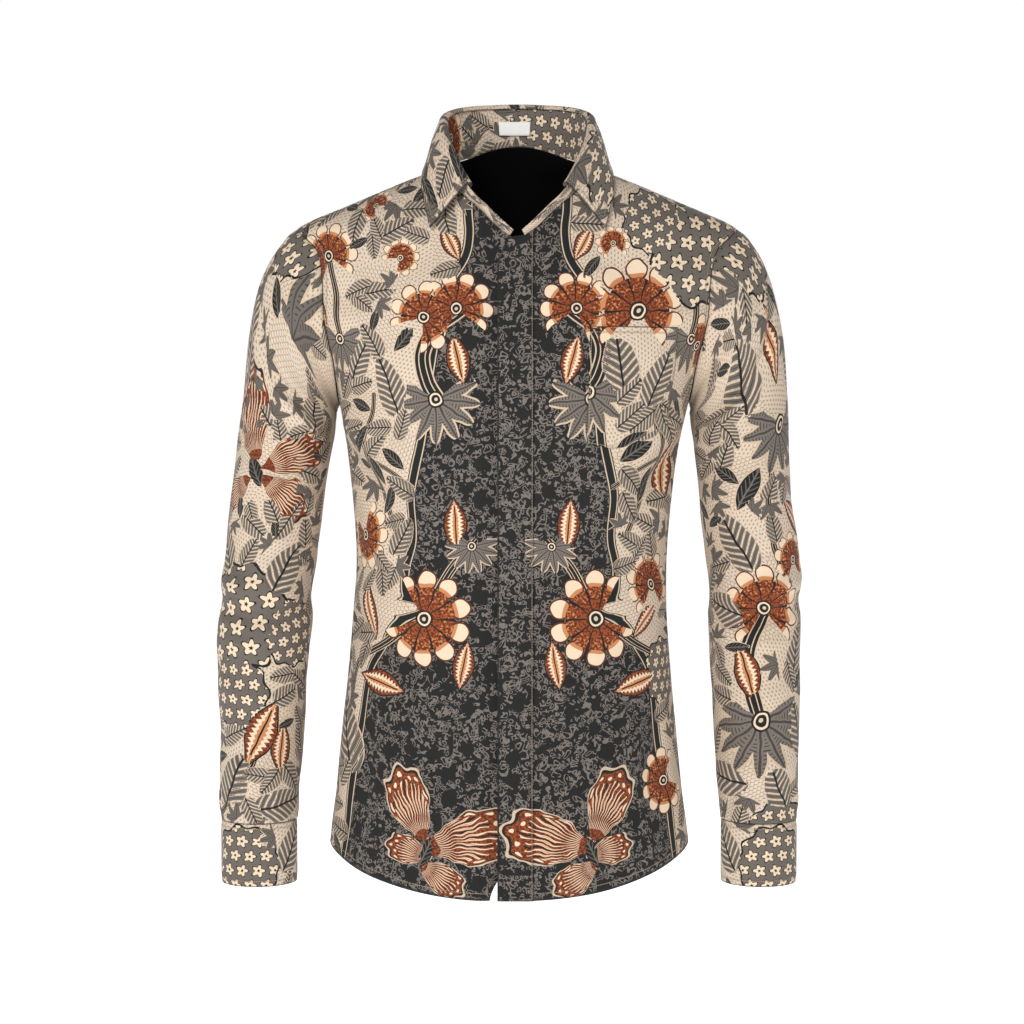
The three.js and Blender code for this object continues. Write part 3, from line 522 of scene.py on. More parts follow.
class Wire:
    """One output socket. Arithmetic on wires adds Math nodes."""

    def __init__(self, tree, socket):
        self.tree, self.socket = tree, socket

    def make(self, kind, settings=None, inputs=None, output=0):
        """A node of a type, its settings set first, then its sockets' values or links."""
        node = self.tree.nodes.new(kind)
        for name, value in (settings or {}).items():
            setattr(node, name, value)
        for name, value in (inputs or {}).items():
            if isinstance(value, Wire):
                self.tree.links.new(value.socket, node.inputs[name])
            else:
                node.inputs[name].default_value = value
        return Wire(self.tree, node.outputs[output])

    def math(self, operation, *values):
        return self.make("ShaderNodeMath", {"operation": operation}, dict(enumerate(values)))

    def between(self, low, high):
        """A colour between two, by this share."""
        return self.make("ShaderNodeMix", {"data_type": "RGBA"}, {0: self, 6: low, 7: high}, 2)

    def painted(self, color, share):
        """This colour, with another over it by a share."""
        return share.between(self, color)

    def axis(self, number):
        """One of a vector's three values."""
        return self.make("ShaderNodeSeparateXYZ", {}, {0: self}, number)

    def channel(self, number):
        """One of a colour's three values."""
        return self.make("ShaderNodeSeparateColor", {}, {0: self}, number)

    def __add__(self, other):
        return self.math("ADD", self, other)

    def __radd__(self, other):
        return self.math("ADD", other, self)

    def __sub__(self, other):
        return self.math("SUBTRACT", self, other)

    def __rsub__(self, other):
        return self.math("SUBTRACT", other, self)

    def __mul__(self, other):
        return self.math("MULTIPLY", self, other)

    def __rmul__(self, other):
        return self.math("MULTIPLY", other, self)

    def __truediv__(self, other):
        return self.math("DIVIDE", self, other)

    def __pow__(self, other):
        return self.math("POWER", self, other)

    def __gt__(self, other):
        return self.math("GREATER_THAN", self, other)

    def __lt__(self, other):
        return self.math("LESS_THAN", self, other)

    def __abs__(self):
        return self.math("ABSOLUTE", self)

    def sin(self):
        return self.math("SINE", self)

    def cos(self):
        return self.math("COSINE", self)

    def root(self):
        return self.math("SQRT", self)

    def floor(self):
        return self.math("FLOOR", self)

    def part(self):
        return self.math("FRACT", self)

    def most(self, other):
        return self.math("MAXIMUM", self, other)



def rgb(red, green, blue):
    """A colour given as 0 to 255, on the shader's own scale."""
    return (*(((c / 255 + 0.055) / 1.055) ** 2.4 for c in (red, green, blue)), 1)


CREAM = rgb(208, 192, 176)
CREAM_WARM = rgb(202, 181, 155)
DOT = rgb(128, 112, 98)
GREY = rgb(101, 94, 87)
GREY_DEEP = rgb(66, 61, 58)
PETAL_GREY = rgb(114, 105, 97)
DARK = rgb(28, 26, 25)
SQUIGGLE = rgb(112, 104, 98)
BLACK = rgb(24, 26, 26)
OUTLINE = rgb(196, 174, 148)
RUST_DEEP = rgb(92, 40, 18)
RUST = rgb(138, 68, 32)
PETAL = rgb(222, 200, 172)
BLUSH = rgb(190, 126, 82)


def cloth_shader(name):
    """A material, its shader, and the place on the cloth as a wire."""
    material = bpy.data.materials.new(name)
    material.use_nodes = True
    tree = material.node_tree
    shader = tree.nodes["Principled BSDF"]
    root = Wire(tree, shader.outputs[0])
    where = root.make("ShaderNodeUVMap", {"uv_map": "cloth"})
    return material, shader, where


COTTON_ROUGH, COTTON_SHINE, COTTON_SHEEN = 0.82, 0.28, 0.06
WEAVE_TURNS, SLUBS = 9000.0, 700.0
# The last two also set the width of the painted shade in grooves and along edges.
STITCH_HALF, STITCH_SHARE, GROOVE_HALF, EDGE_SHADE_WIDTH = 0.4, 0.72, 1.6, 0.9


def finish_cloth(material, shader, where, color):
    """Dull cotton: plain weave as bump, uneven in depth, and the colour a little patchy. Edges get
    painted shade, and sewn ones have a groove with painted shade and a run of pale stitches in it."""
    tree = material.node_tree
    near = where.make("ShaderNodeAttribute", {"attribute_name": "sewn"}, {}, 2)
    run = (where.axis(0) + where.axis(1)) * (1 / MM / STITCH_LONG)
    off_line = abs(near - (SEWN_REACH - STITCH_IN))
    stitch = (off_line < STITCH_HALF) * (run.part() < STITCH_SHARE)
    groove = (1 - off_line / GROOVE_HALF).most(0)
    # Painted shade: a dark band along edges and folds.
    color = color.painted(BLACK, (abs(near) > SEWN_REACH - EDGE_SHADE_WIDTH) * 0.75)
    # Painted shade in the seam groove, where the bump sinks.
    color = color.painted(BLACK, groove * 0.4)
    color = color.painted(OUTLINE, stitch * 0.45)
    fade = where.make("ShaderNodeTexNoise", {}, {"Vector": where, "Scale": 24.0, "Detail": 3.0})
    worn = color.make("ShaderNodeHueSaturation", {}, {"Color": color, "Value": 0.93 + fade * 0.14})
    tree.links.new(worn.socket, shader.inputs["Base Color"])
    shader.inputs["Roughness"].default_value = COTTON_ROUGH
    shader.inputs["Specular IOR Level"].default_value = COTTON_SHINE
    shader.inputs["Sheen Weight"].default_value = COTTON_SHEEN
    threads = (where.axis(0) * WEAVE_TURNS).sin() * (where.axis(1) * WEAVE_TURNS).sin()
    slub = where.make("ShaderNodeTexNoise", {}, {"Vector": where, "Scale": SLUBS, "Detail": 2.0})
    bump = where.make("ShaderNodeBump", {}, {"Strength": 0.3, "Distance": 0.0002,
                                             "Height": threads * 0.35 + slub - groove * 3})
    tree.links.new(bump.socket, shader.inputs["Normal"])
    return material


def reverse_painted_shade():
    """The reverse of the cloth, painted near black as the deep shade inside the hollow shirt."""
    material, shader, where = cloth_shader("reverse_painted_shade")
    speck = where.make("ShaderNodeTexNoise", {}, {"Vector": where, "Scale": 900.0})
    color = speck.between(rgb(4, 4, 4), rgb(12, 11, 11))
    material.node_tree.links.new(color.socket, shader.inputs["Base Color"])
    shader.inputs["Roughness"].default_value = 0.95
    shader.inputs["Specular IOR Level"].default_value = 0.05
    return material


DASH_APART, ROWS_APART = 4.6, 3.4
CELLS, BLOTS, WANDER = 150.0, 40.0, 0.011
BORDER_LINES = ((5.4, BLACK), (4.4, OUTLINE), (3.2, BLACK))


def cream_ground(where):
    """Cream cotton filled with rows of short dashes or with scales. Each patch of the cloth
    has its own direction, and one of the two fillings."""
    patch = where.make("ShaderNodeTexVoronoi", {}, {"Vector": where, "Scale": 26.0}, 1)
    turn = patch.channel(0) * 6.28
    u, v = where.axis(0) * (1 / MM), where.axis(1) * (1 / MM)
    across = (u * turn.cos() + v * turn.sin()) / DASH_APART
    up = (v * turn.cos() - u * turn.sin()) / ROWS_APART
    row = up.floor()
    x = (across + row * 0.5).part() - 0.5
    y = up.part() - 0.5
    dash = (abs(x) < 0.27) * (abs(y) < 0.2)
    scale = abs((x * x * 1.6 + (y + 0.5) * (y + 0.5)).root() - 0.62) < 0.11
    scaly = patch.channel(1) > 0.62
    mark = dash * (1 - scaly) + scale * scaly
    tone = where.make("ShaderNodeTexNoise", {}, {"Vector": where, "Scale": 8.0})
    ground = tone.between(CREAM, CREAM_WARM)
    return ground.painted(DOT, mark * 0.72)


def dark_ground(where):
    """Near black cotton filled with curling lines and small rings, and bare in blots. The lines
    are the edges of small cells in a place that wanders, left open here and there."""
    wander = where.make("ShaderNodeTexNoise", {}, {"Vector": where, "Scale": 105.0, "Detail": 0.0}, 1)
    moved = where.make("ShaderNodeVectorMath", {"operation": "SCALE"}, {0: wander, "Scale": WANDER})
    curl = where.make("ShaderNodeVectorMath", {"operation": "ADD"}, {0: where, 1: moved})
    line = where.make("ShaderNodeTexVoronoi", {"feature": "DISTANCE_TO_EDGE"},
                      {"Vector": curl, "Scale": CELLS})
    ring = where.make("ShaderNodeTexVoronoi", {}, {"Vector": curl, "Scale": CELLS})
    blot = where.make("ShaderNodeTexVoronoi", {}, {"Vector": curl, "Scale": BLOTS}) < 0.3
    kept = where.make("ShaderNodeTexNoise", {}, {"Vector": where, "Scale": 170.0, "Detail": 0.0}) > 0.49
    marks = ((line < 0.075) * kept).most(abs(ring - 0.3) < 0.065) * (1 - blot)
    tone = where.make("ShaderNodeTexNoise", {}, {"Vector": where, "Scale": 30.0})
    ground = tone.between(DARK, BLACK)
    return ground.painted(SQUIGGLE, marks)


def border(color, distance):
    """A black band between two thin pale lines, along where distance is 0."""
    for half, paint in BORDER_LINES:
        color = color.painted(paint, abs(distance) < half)
    return color


def repeated(angle, count):
    """Angle from the middle line of the nearest of count petals, less whole petals."""
    step = 2 * math.pi / count
    return angle - (angle / step + 0.5).floor() * step


HAND_SHAKE = 0.06


class Spot:
    """A point's place on the motif nearest it: p along it and q across it, r from its middle at
    an angle, all as shares of its size. The motifs are drawn by hand, so the place wavers."""

    def __init__(self, where):
        place = where.make("ShaderNodeAttribute", {"attribute_name": "motif"}, {}, 1)
        shake = where.make("ShaderNodeTexNoise", {}, {"Vector": where, "Scale": 95.0, "Detail": 0.0}, 1)
        self.p = place.axis(0) + (shake.channel(0) - 0.5) * HAND_SHAKE
        self.q = place.axis(1) + (shake.channel(1) - 0.5) * HAND_SHAKE
        self.kind = place.axis(2)
        self.r = (self.p * self.p + self.q * self.q).root()
        self.angle = where.math("ARCTAN2", self.q, self.p)
        self.grain = where.make("ShaderNodeTexNoise", {}, {"Vector": where, "Scale": 420.0, "Detail": 1.0})

    def on(self, kind):
        return abs(self.kind - kind) < 0.5


def draw_stars(color, at):
    """Stars on a grey patch with a scalloped edge."""
    p, q, r, angle = at.p, at.q, at.r, at.angle
    here = at.on(STARS)
    edge = 0.9 + (angle * 11).cos() * 0.05
    color = color.painted(BLACK, here * (r < edge + 0.05))
    color = color.painted(GREY, here * (r < edge))
    row = (q / 0.36).floor()
    sx = (p / 0.4 + row * 0.5).part() - 0.5
    sy = (q / 0.36).part() - 0.5
    star_angle = p.math("ARCTAN2", sy, sx)
    star = (sx * sx + sy * sy).root() / (1 + (star_angle * 5).cos() * 0.32)
    color = color.painted(BLACK, here * (r < edge) * (star < 0.36))
    color = color.painted(PETAL, here * (r < edge) * (star < 0.3))
    color = color.painted(BLACK, here * (r < edge) * (star < 0.08))
    return color


def draw_sprays_and_daisies(color, at):
    """Sprays of a few stout grey leaves, and daisies of many slim ones, both open on one side."""
    r, angle = at.r, at.angle
    for number, count, spread, inner, stout, fill in ((SPRAY, 8, 1.5, 0.0, 0.44, GREY),
                                                      (DAISY, 13, 2.2, 0.1, 0.33, PETAL_GREY)):
        here = at.on(number) * (abs(angle) < spread)
        off = repeated(angle, count)
        along = (r - inner) / (1 - inner)
        wide = (along * (1 - along)).most(0).root() * stout * (1.1 - along * 0.55)
        tall = abs(r * off.sin())
        inside = (along > 0) * (along < 1) * here
        color = color.painted(OUTLINE, inside * (tall < wide + 0.045))
        color = color.painted(fill, inside * (tall < wide))
        teeth = abs((along * 13).part() - 0.5) < 0.16
        color = color.painted(GREY_DEEP, inside * (tall < wide) * teeth * (tall > wide * 0.45))
        color = color.painted(GREY_DEEP, inside * (tall < 0.022))
    return color


def draw_ferns(color, at):
    """Ferns: grey leaflets slanting from a midrib, cut to a pointed oval."""
    p, q = at.p, at.q
    here = at.on(FERN)
    wide = (1 - p * p).most(0).root() * 0.5 * (1.1 - p * 0.35)
    tall = abs(q)
    leaflet = abs((p * 4.2 - tall * 3.4).part() - 0.5)
    inside = here * (tall < wide) * (abs(p) < 1)
    color = color.painted(OUTLINE, inside * (leaflet < 0.43))
    color = color.painted(GREY, inside * (tall < wide * 0.93) * (leaflet < 0.34))
    color = color.painted(GREY_DEEP, inside * (tall < wide * 0.8) * (leaflet < 0.05))
    color = color.painted(BLACK, here * (tall < 0.035) * (abs(p) < 0.95))
    return color


def draw_leaves(color, at):
    """Single leaves, black with a grey midrib and veins."""
    p, q = at.p, at.q
    here = at.on(LEAF)
    wide = (1 - p * p).most(0) * 0.36
    tall = abs(q)
    color = color.painted(OUTLINE, here * (tall < wide + 0.05) * (abs(p) < 1))
    color = color.painted(BLACK, here * (tall < wide))
    vein = abs((p * 3.4 - tall * 5).part() - 0.5) < 0.1
    color = color.painted(GREY, here * (tall < wide * 0.85) * (tall < 0.035).most(vein))
    return color


def draw_pods(color, at):
    """Pods: rust round a cream heart with a flame edge."""
    p, q, grain = at.p, at.q, at.grain
    here = at.on(POD)
    wide = (1 - p * p).most(0) ** 1.25 * 0.4
    tall = abs(q)
    color = color.painted(BLACK, here * (tall < wide + 0.05) * (abs(p) < 1.04))
    color = color.painted(RUST_DEEP, here * (tall < wide))
    color = color.painted(RUST, here * (tall < wide) * (grain > 0.5))
    flame = wide * (0.5 + abs((p * 7).part() - 0.5) * 0.7)
    color = color.painted(PETAL, here * (tall < flame - 0.02))
    color = color.painted(BLUSH, here * (tall < flame * 0.42))
    color = color.painted(BLACK, here * (tall < 0.025) * (abs(p) < 0.7))
    return color


def draw_wings(color, at):
    """Wings: rays of rust and cream inside a rust border with pale spots and a black edge."""
    r, angle, grain = at.r, at.angle, at.grain
    here = at.on(WING) * (abs(angle) < 0.56)
    reach = (angle * 2.75).cos().most(0) ** 0.4 * (0.94 + (angle * 24).cos() * 0.035)
    inside = here * (r < reach)
    color = color.painted(OUTLINE, here * (r < reach + 0.035))
    color = color.painted(BLACK, inside)
    color = color.painted(RUST_DEEP, here * (r < reach * 0.965))
    color = color.painted(RUST, here * (r < reach * 0.965) * (grain > 0.5))
    off = repeated(angle, 48)
    spot = ((r - reach * 0.9) * (r - reach * 0.9) + (r * off.sin()) * (r * off.sin())).root()
    color = color.painted(PETAL, here * (spot < 0.024))
    ray = abs((angle * 6.2 + r * 0.7).part() - 0.5)
    cell = abs(ray - 0.25) / 0.25 + abs((r * 2.9).part() - 0.5) * 0.75
    color = color.painted(BLACK, here * (r < reach * 0.84) * (ray < 0.06))
    color = color.painted(PETAL, here * (r < reach * 0.82) * (cell < 0.52) * (r > 0.2))
    color = color.painted(BLUSH, here * (r < reach * 0.8) * (cell < 0.2) * (r > 0.2))
    return color


def draw_fans(color, at):
    """Fan flowers: cream tips round mottled rust petals, and a ringed eye as on the daisies."""
    r, angle, grain = at.r, at.angle, at.grain
    here = at.on(FAN) * (abs(angle) < 2.5)
    off = repeated(angle, 10)
    tip = ((r * off.cos() - 0.8) ** 2 + (r * off.sin()) * (r * off.sin())).root()
    color = color.painted(RUST_DEEP, here * (tip < 0.225))
    color = color.painted(PETAL, here * (tip < 0.19))
    color = color.painted(BLUSH, here * (tip < 0.19) * (r < 0.74))
    body = here * (r < 0.66)
    color = color.painted(RUST_DEEP, body)
    color = color.painted(RUST, body * (grain > 0.48))
    color = color.painted(BLUSH, body * (grain > 0.6) * (r > 0.4))
    color = color.painted(BLACK, body * (abs(off) > 0.27))
    here = at.on(FAN).most(at.on(DAISY))
    color = color.painted(BLACK, here * (r < 0.19))
    color = color.painted(PETAL, here * (r < 0.15))
    color = color.painted(BLACK, here * (r < 0.11))
    return color.painted(CREAM_WARM, here * (r < 0.045))


def draw_motifs(color, where):
    """Every kind of motif over the ground."""
    at = Spot(where)
    for draw in (draw_stars, draw_sprays_and_daisies, draw_ferns, draw_leaves,
                 draw_pods, draw_wings, draw_fans):
        color = draw(color, at)
    return color


def draw_stems(color, where):
    """A black band edged with a pale line, with two thinner ones inside it."""
    distance = abs(where.make("ShaderNodeAttribute", {"attribute_name": "stem"}, {}, 2))
    color = color.painted(OUTLINE, distance < 1.12)
    color = color.painted(BLACK, distance < 0.92)
    return color.painted(OUTLINE, abs(distance - 0.42) < 0.075)


def body_print():
    """The body's cloth: both grounds, the border between them, the stems and the motifs."""
    material, shader, where = cloth_shader("body_print")
    field = where.make("ShaderNodeAttribute", {"attribute_name": "field"}, {}, 2)
    color = (field < 0).between(cream_ground(where), dark_ground(where))
    color = border(color, field)
    color = draw_stems(color, where)
    color = draw_motifs(color, where)
    return finish_cloth(material, shader, where, color)


printed = body_print()
# The inner walls get near black painted shade.
reverse = reverse_painted_shade()


def dress(piece, material, node, inside=None):
    piece.data.materials.append(material)
    piece.data.materials.append(inside or reverse)
    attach(piece, "root")
    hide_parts(node)


UNDERLAP_SHARE = 15 / 22


def right_edge_z(t):
    """Straight up to the neck seam, then along it."""
    share = UNDERLAP_SHARE
    neck = np.interp(t, np.linspace(share, 1, 8), np.r_[UNDERLAP_TOP, NECK[:, 1]])
    straight = HEM_SIDE - HEM_FRONT_DROP + (UNDERLAP_TOP - HEM_SIDE + HEM_FRONT_DROP) * t / share
    return np.where(t < share, straight, neck)


def right_edge_x(t):
    """Under the fly, but swinging away from it near the hem."""
    z = right_edge_z(t)
    swing = UNDERLAP_SWING * smooth(-z, -SWING_START, -SWING_END)
    hidden = -(UNDERLAP_EDGE - swing - lean_at(z))
    share = UNDERLAP_SHARE
    top = -(UNDERLAP_EDGE - lean_at(UNDERLAP_TOP))
    neck = np.interp(t, np.linspace(share, 1, 8), np.r_[top, NECK[:, 0]])
    return np.where(t < share, hidden, neck)


# Each crease by its two ends on the cloth, its width and its height.
FRONT_CREASES = (
    (20, -318, 56, -332, 6, 1.3), (24, -262, 60, -270, 6, -1.0), (22, -160, 50, -153, 5, 0.9),
    (22, -400, 62, -408, 7, -1.1), (22, -512, 58, -500, 7, 1.1), (22, -585, 60, -600, 8, 1.2),
    (226, -250, 120, -285, 12, 2.0), (222, -275, 135, -330, 10, -1.8),
    (205, -262, 70, -322, 17, 2.4), (200, -300, 95, -372, 15, -1.8),
    (190, -420, 70, -455, 18, 2.0), (196, -452, 90, -500, 15, -1.7),
    (96, -560, 70, -700, 20, 2.4), (150, -540, 176, -680, 18, -2.0), (30, -600, 38, -705, 14, 1.1),
    (150, -150, 215, -98, 13, -1.8), (120, -190, 190, -205, 13, 1.5),
    (60, -95, 120, -150, 15, 1.3),
)


CREASE_DEPTH, UNEVEN_WAVE, UNEVEN_DEPTH = 1.9, 110, 1.4
FRONT_WIDE, FRONT_TALL, SEAM_DRAWN, SEAM_SPREAD = 170, 500, 0.6, 2.2


def front_rise(u, z, s, t, seed):
    """Creases and unevenness, none at the side seam, armhole and shoulder, with the seams
    drawn in a little."""
    free = smooth(1 - s, 0, 0.09) * smooth(1 - t, 0, 0.05)
    drawn = (np.exp(-((1 - s) * FRONT_WIDE / SEAM_SPREAD) ** 2)
             + np.exp(-((1 - t) * FRONT_TALL / SEAM_SPREAD) ** 2))
    loose = CREASE_DEPTH * creased(u, z, FRONT_CREASES) + uneven(u, z, seed, UNEVEN_WAVE, UNEVEN_DEPTH)
    return free * loose - SEAM_DRAWN * drawn


right_turn, right_z, right_s, right_t = front_panel(right_edge_x, right_edge_z, 40 * DETAIL, 110 * DETAIL)
right_u = cloth_between(0, right_turn, right_z)
right_grid = body_point(-1, right_turn, right_z)
dip = -UNDERLAP_DEPTH * smooth(right_grid[..., 0], FLY_EDGE - 18, FLY_EDGE - 3)
right_rise = dip + front_rise(right_u, right_z, right_s, right_t, 3)
right_grid = right_grid - normals_of(right_grid) * right_rise[..., None]
right_front = cloth("front_right_cloth", right_grid, -right_u, right_z, SHIRTING, turned=True)
print_front(right_front, -1, RIGHT_MOTIFS, 11)
stitch(right_front, right_grid, foot=-1.5, right=0)
dress(right_front, printed, "front_right")


# ---- Left front ----
# The wearer's left front, one layer from the side seam to the fly's line of stitches. Its
# print mirrors the right front's.

LEFT_SHARE, LEFT_SEED = 16 / 22, 12


def left_edge_z(t):
    """Straight up to the top of the fly, then along the neck seam."""
    neck = np.interp(t, np.linspace(LEFT_SHARE, 1, 7), np.r_[FLY_TOP, NECK[1:, 1]])
    foot = HEM_SIDE - HEM_FRONT_DROP
    return np.where(t < LEFT_SHARE, foot + (FLY_TOP - foot) * t / LEFT_SHARE, neck)


def left_edge_x(t):
    """On the fly's line of stitches, then along the neck seam."""
    z = left_edge_z(t)
    top = FLY_STITCH - lean_at(FLY_TOP)
    neck = np.interp(t, np.linspace(LEFT_SHARE, 1, 7), np.r_[top, NECK[1:, 0]])
    return np.where(t < LEFT_SHARE, FLY_STITCH - lean_at(z), neck)


left_turn, left_z, left_s, left_t = front_panel(left_edge_x, left_edge_z, 40 * DETAIL, 110 * DETAIL)
left_u = cloth_between(0, left_turn, left_z)
left_grid = body_point(1, left_turn, left_z)
left_rise = front_rise(left_u, left_z, left_s, left_t, 5) * smooth(left_s, 0, 0.06)
left_grid = left_grid + normals_of(left_grid) * left_rise[..., None]
left_front = cloth("front_left_cloth", left_grid, left_u, left_z, SHIRTING)
print_front(left_front, 1, LEFT_MOTIFS, LEFT_SEED)
stitch(left_front, left_grid, foot=-1.5, right=0)
dress(left_front, printed, "front_left")


# ---- Fly ----
# The concealed fly down the centre front: two layers, stitched along the wearer's left and
# folded along its free edge. It hides the buttons, so it is smooth.

FLY_PROUD, FLY_THICK, FLY_WIDE, FLY_PRESSED, FLY_PRESS_SPREAD = 1.4, 2.0, 34, 0.7, 1.6
FLY_CORNER_X, FLY_CORNER_Z, FLY_STRAIGHT = -3, -79.5, -112
FLY_NECK_SHARE, FLY_NECK_Z = 0.65, -77

fly_t = np.linspace(0, 1, 100 * DETAIL)[:, None]
fly_s = np.linspace(0, 1, 14)[None, :]
fly_left_z = hem_at(0.0) + (FLY_CORNER_Z - hem_at(0.0)) * fly_t
fly_drop = np.sqrt(smooth(-fly_left_z, -FLY_CORNER_Z, -FLY_STRAIGHT))
fly_left_x = FLY_CORNER_X + (FLY_EDGE - FLY_CORNER_X) * fly_drop - lean_at(fly_left_z)
fly_right_z = HEM_SIDE - HEM_FRONT_DROP + (FLY_TOP - HEM_SIDE + HEM_FRONT_DROP) * fly_t
fly_right_x = FLY_STITCH - lean_at(fly_right_z)
fly_head = np.interp(fly_s, (0, FLY_NECK_SHARE, 1), (FLY_CORNER_Z, FLY_NECK_Z, FLY_TOP))
fly_x, fly_z = fill_patch(fly_t, (fly_left_x, fly_left_z), (fly_right_x, fly_right_z),
                          fly_s, hem_at(0.0) + 0 * fly_s, fly_s, fly_head)
fly_turn = turn_at_x(fly_x, fly_z)
fly_grid = body_point(1, fly_turn, fly_z)
fly_u = cloth_between(0, fly_turn, fly_z)
fly_from_edge = np.minimum(fly_s * FLY_WIDE, (1 - fly_s) * FLY_WIDE)
fly_pressed = FLY_PRESSED * np.exp(-(fly_from_edge / FLY_PRESS_SPREAD) ** 2)
fly_rise = FLY_PROUD - fly_pressed + uneven(fly_u, fly_z, 8, 90, 0.25)
fly_grid = fly_grid + normals_of(fly_grid) * fly_rise[..., None]
fly = cloth("placket_cloth", fly_grid, fly_u, fly_z, FLY_THICK)
print_front(fly, 1, LEFT_MOTIFS, LEFT_SEED)
stitch(fly, fly_grid, plain="left", right=4)
dress(fly, printed, "placket", printed)


# ---- Pocket ----
# A patch pocket on the left chest, one layer, pointed at its foot and hemmed along its top.
# Its print is nearly matched to the front's.

POCKET_LEFT, POCKET_RIGHT, POCKET_RIGHT_FOOT = 70, 155, 148
POCKET_TOP, POCKET_BOTTOM, POCKET_POINT, POCKET_PROUD = -165, -276, 7, 1.75
POCKET_PRINT_SHIFT = (5, -7)
POCKET_WIDE, POCKET_TALL, POCKET_SUNK, POCKET_SINK_SPREAD = 88, 110, 0.8, 2

pocket_t = np.linspace(0, 1, 40 * DETAIL)[:, None]
pocket_s = np.linspace(0, 1, 32 * DETAIL)[None, :]
pocket_foot = POCKET_BOTTOM - POCKET_POINT * (1 - np.abs(2 * pocket_s - 1))
pocket_z = pocket_foot + (POCKET_TOP - pocket_foot) * pocket_t
pocket_right = POCKET_RIGHT_FOOT + (POCKET_RIGHT - POCKET_RIGHT_FOOT) * pocket_t
pocket_turn = turn_at_x(POCKET_LEFT + (pocket_right - POCKET_LEFT) * pocket_s, pocket_z)
pocket_u = cloth_between(0, pocket_turn, pocket_z)
pocket_grid = body_point(1, pocket_turn, pocket_z)
pocket_from_seam = np.minimum(np.minimum(pocket_s, 1 - pocket_s) * POCKET_WIDE, pocket_t * POCKET_TALL)
pocket_sunk = POCKET_SUNK * np.exp(-(pocket_from_seam / POCKET_SINK_SPREAD) ** 2)
pocket_rise = (POCKET_PROUD - pocket_sunk + creased(pocket_u, pocket_z, FRONT_CREASES) * 0.8
               + uneven(pocket_u, pocket_z, 5, 130, 0.5))
pocket_grid = pocket_grid + normals_of(pocket_grid) * pocket_rise[..., None]
pocket = cloth("pocket_cloth", pocket_grid, pocket_u + POCKET_PRINT_SHIFT[0],
               pocket_z + POCKET_PRINT_SHIFT[1], SHIRTING)
print_front(pocket, 1, LEFT_MOTIFS, LEFT_SEED)
stitch(pocket, pocket_grid, left=4, right=4, foot=4, head=0)
dress(pocket, printed, "pocket")


# ---- Back ----
# The back, one layer of printed cotton cut in one piece from side seam to side seam and sewn
# to the fronts at the sides and shoulders. It repeats the fronts' print about its own middle.

BACK_NECK_RISE = 22
BACK_CREASE_DEPTH, BACK_UNEVEN, BACK_DRAWN, BACK_WIDE = 1.7, 1.5, 0.5, 260
SHOULDER_COLUMNS = 5 / 9
BACK_CREASES = (
    (60, -130, 150, -170, 16, 1.6), (-50, -120, -150, -150, 15, 1.4),
    (200, -270, 70, -340, 17, 2.2), (-205, -262, -80, -320, 16, 2.0),
    (190, -410, 60, -440, 18, 2.0), (-185, -430, -50, -452, 17, 1.8),
    (30, -400, 20, -560, 20, -1.8), (-60, -480, -80, -690, 20, 2.4), (110, -520, 130, -690, 19, 2.2),
    (20, -560, 34, -715, 17, 1.6),
)

back_t = np.linspace(0, 1, 95 * DETAIL)[:, None]
back_s = np.linspace(0, 1, 70 * DETAIL)[None, :]
from_side = 1 - np.abs(2 * back_s - 1)
hand = np.where(back_s > 0.5, -1, 1)
shoulder_z = SHOULDER_TIP * (1 - np.minimum(from_side / SHOULDER_COLUMNS, 1))
neck_turn = 90 + 90 * np.clip((from_side - SHOULDER_COLUMNS) / (1 - SHOULDER_COLUMNS), 0, 1)
neck_z = BACK_NECK_RISE * np.sin(np.radians(neck_turn - 90)) ** 2
on_neck = from_side > SHOULDER_COLUMNS
head_z = np.where(on_neck, neck_z, shoulder_z)
head_x = np.where(on_neck, local_x(neck_turn, neck_z), half_at(shoulder_z))
head_share = 0.5 - hand * head_x / half_at(SHOULDER_TIP) / 2
foot_turn = 90 + 90 * from_side
foot_share = 0.5 - hand * local_x(foot_turn, HEM_SIDE) / half_at(HEM_SIDE) / 2
seam_x, seam_z, seam_turn = side_edge(back_t, True)
back_x, back_z = fill_patch(back_t, (seam_x, seam_z), (-seam_x, seam_z), foot_share, hem_at(foot_turn),
                            head_share, head_z)
back_turn = 180 - np.abs(turn_at_x(back_x, back_z))
back_turn[:, 0], back_turn[:, -1] = seam_turn[:, 0], seam_turn[:, 0]
back_side = np.where(back_x < 0, -1, 1)
back_grid = body_point(back_side, back_turn, back_z)
back_u = back_side * -cloth_between(180, back_turn, back_z)
back_free = smooth(from_side, 0, 0.07) * smooth(1 - back_t, 0, 0.05)
back_loose = (BACK_CREASE_DEPTH * creased(back_u, back_z, BACK_CREASES)
              + uneven(back_u, back_z, 7, UNEVEN_WAVE, BACK_UNEVEN))
back_drawn = BACK_DRAWN * np.exp(-(from_side * BACK_WIDE / SEAM_SPREAD) ** 2)
back_rise = back_free * back_loose - back_drawn
back_grid = back_grid + normals_of(back_grid) * back_rise[..., None]
back = cloth("back_cloth", back_grid, back_u, back_z, SHIRTING)
print_field(back)
print_motifs(back, np.concatenate([placed(BODY_MOTIFS + LEFT_MOTIFS, 1, 13, BACK_HEIGHTS),
                                   placed(BODY_MOTIFS + RIGHT_MOTIFS, -1, 14, BACK_HEIGHTS)]))
print_stems(back, [on_cloth(stem, side) for stem in BODY_STEMS for side in (1, -1)])
stitch(back, back_grid, foot=-1.5, left=0, right=0)
dress(back, printed, "back")


# ---- Sleeves ----
# Each sleeve is one piece, closed by a seam along the inside of the arm and set into the
# armhole. It hangs straight, with creases at the armpit and the elbow.

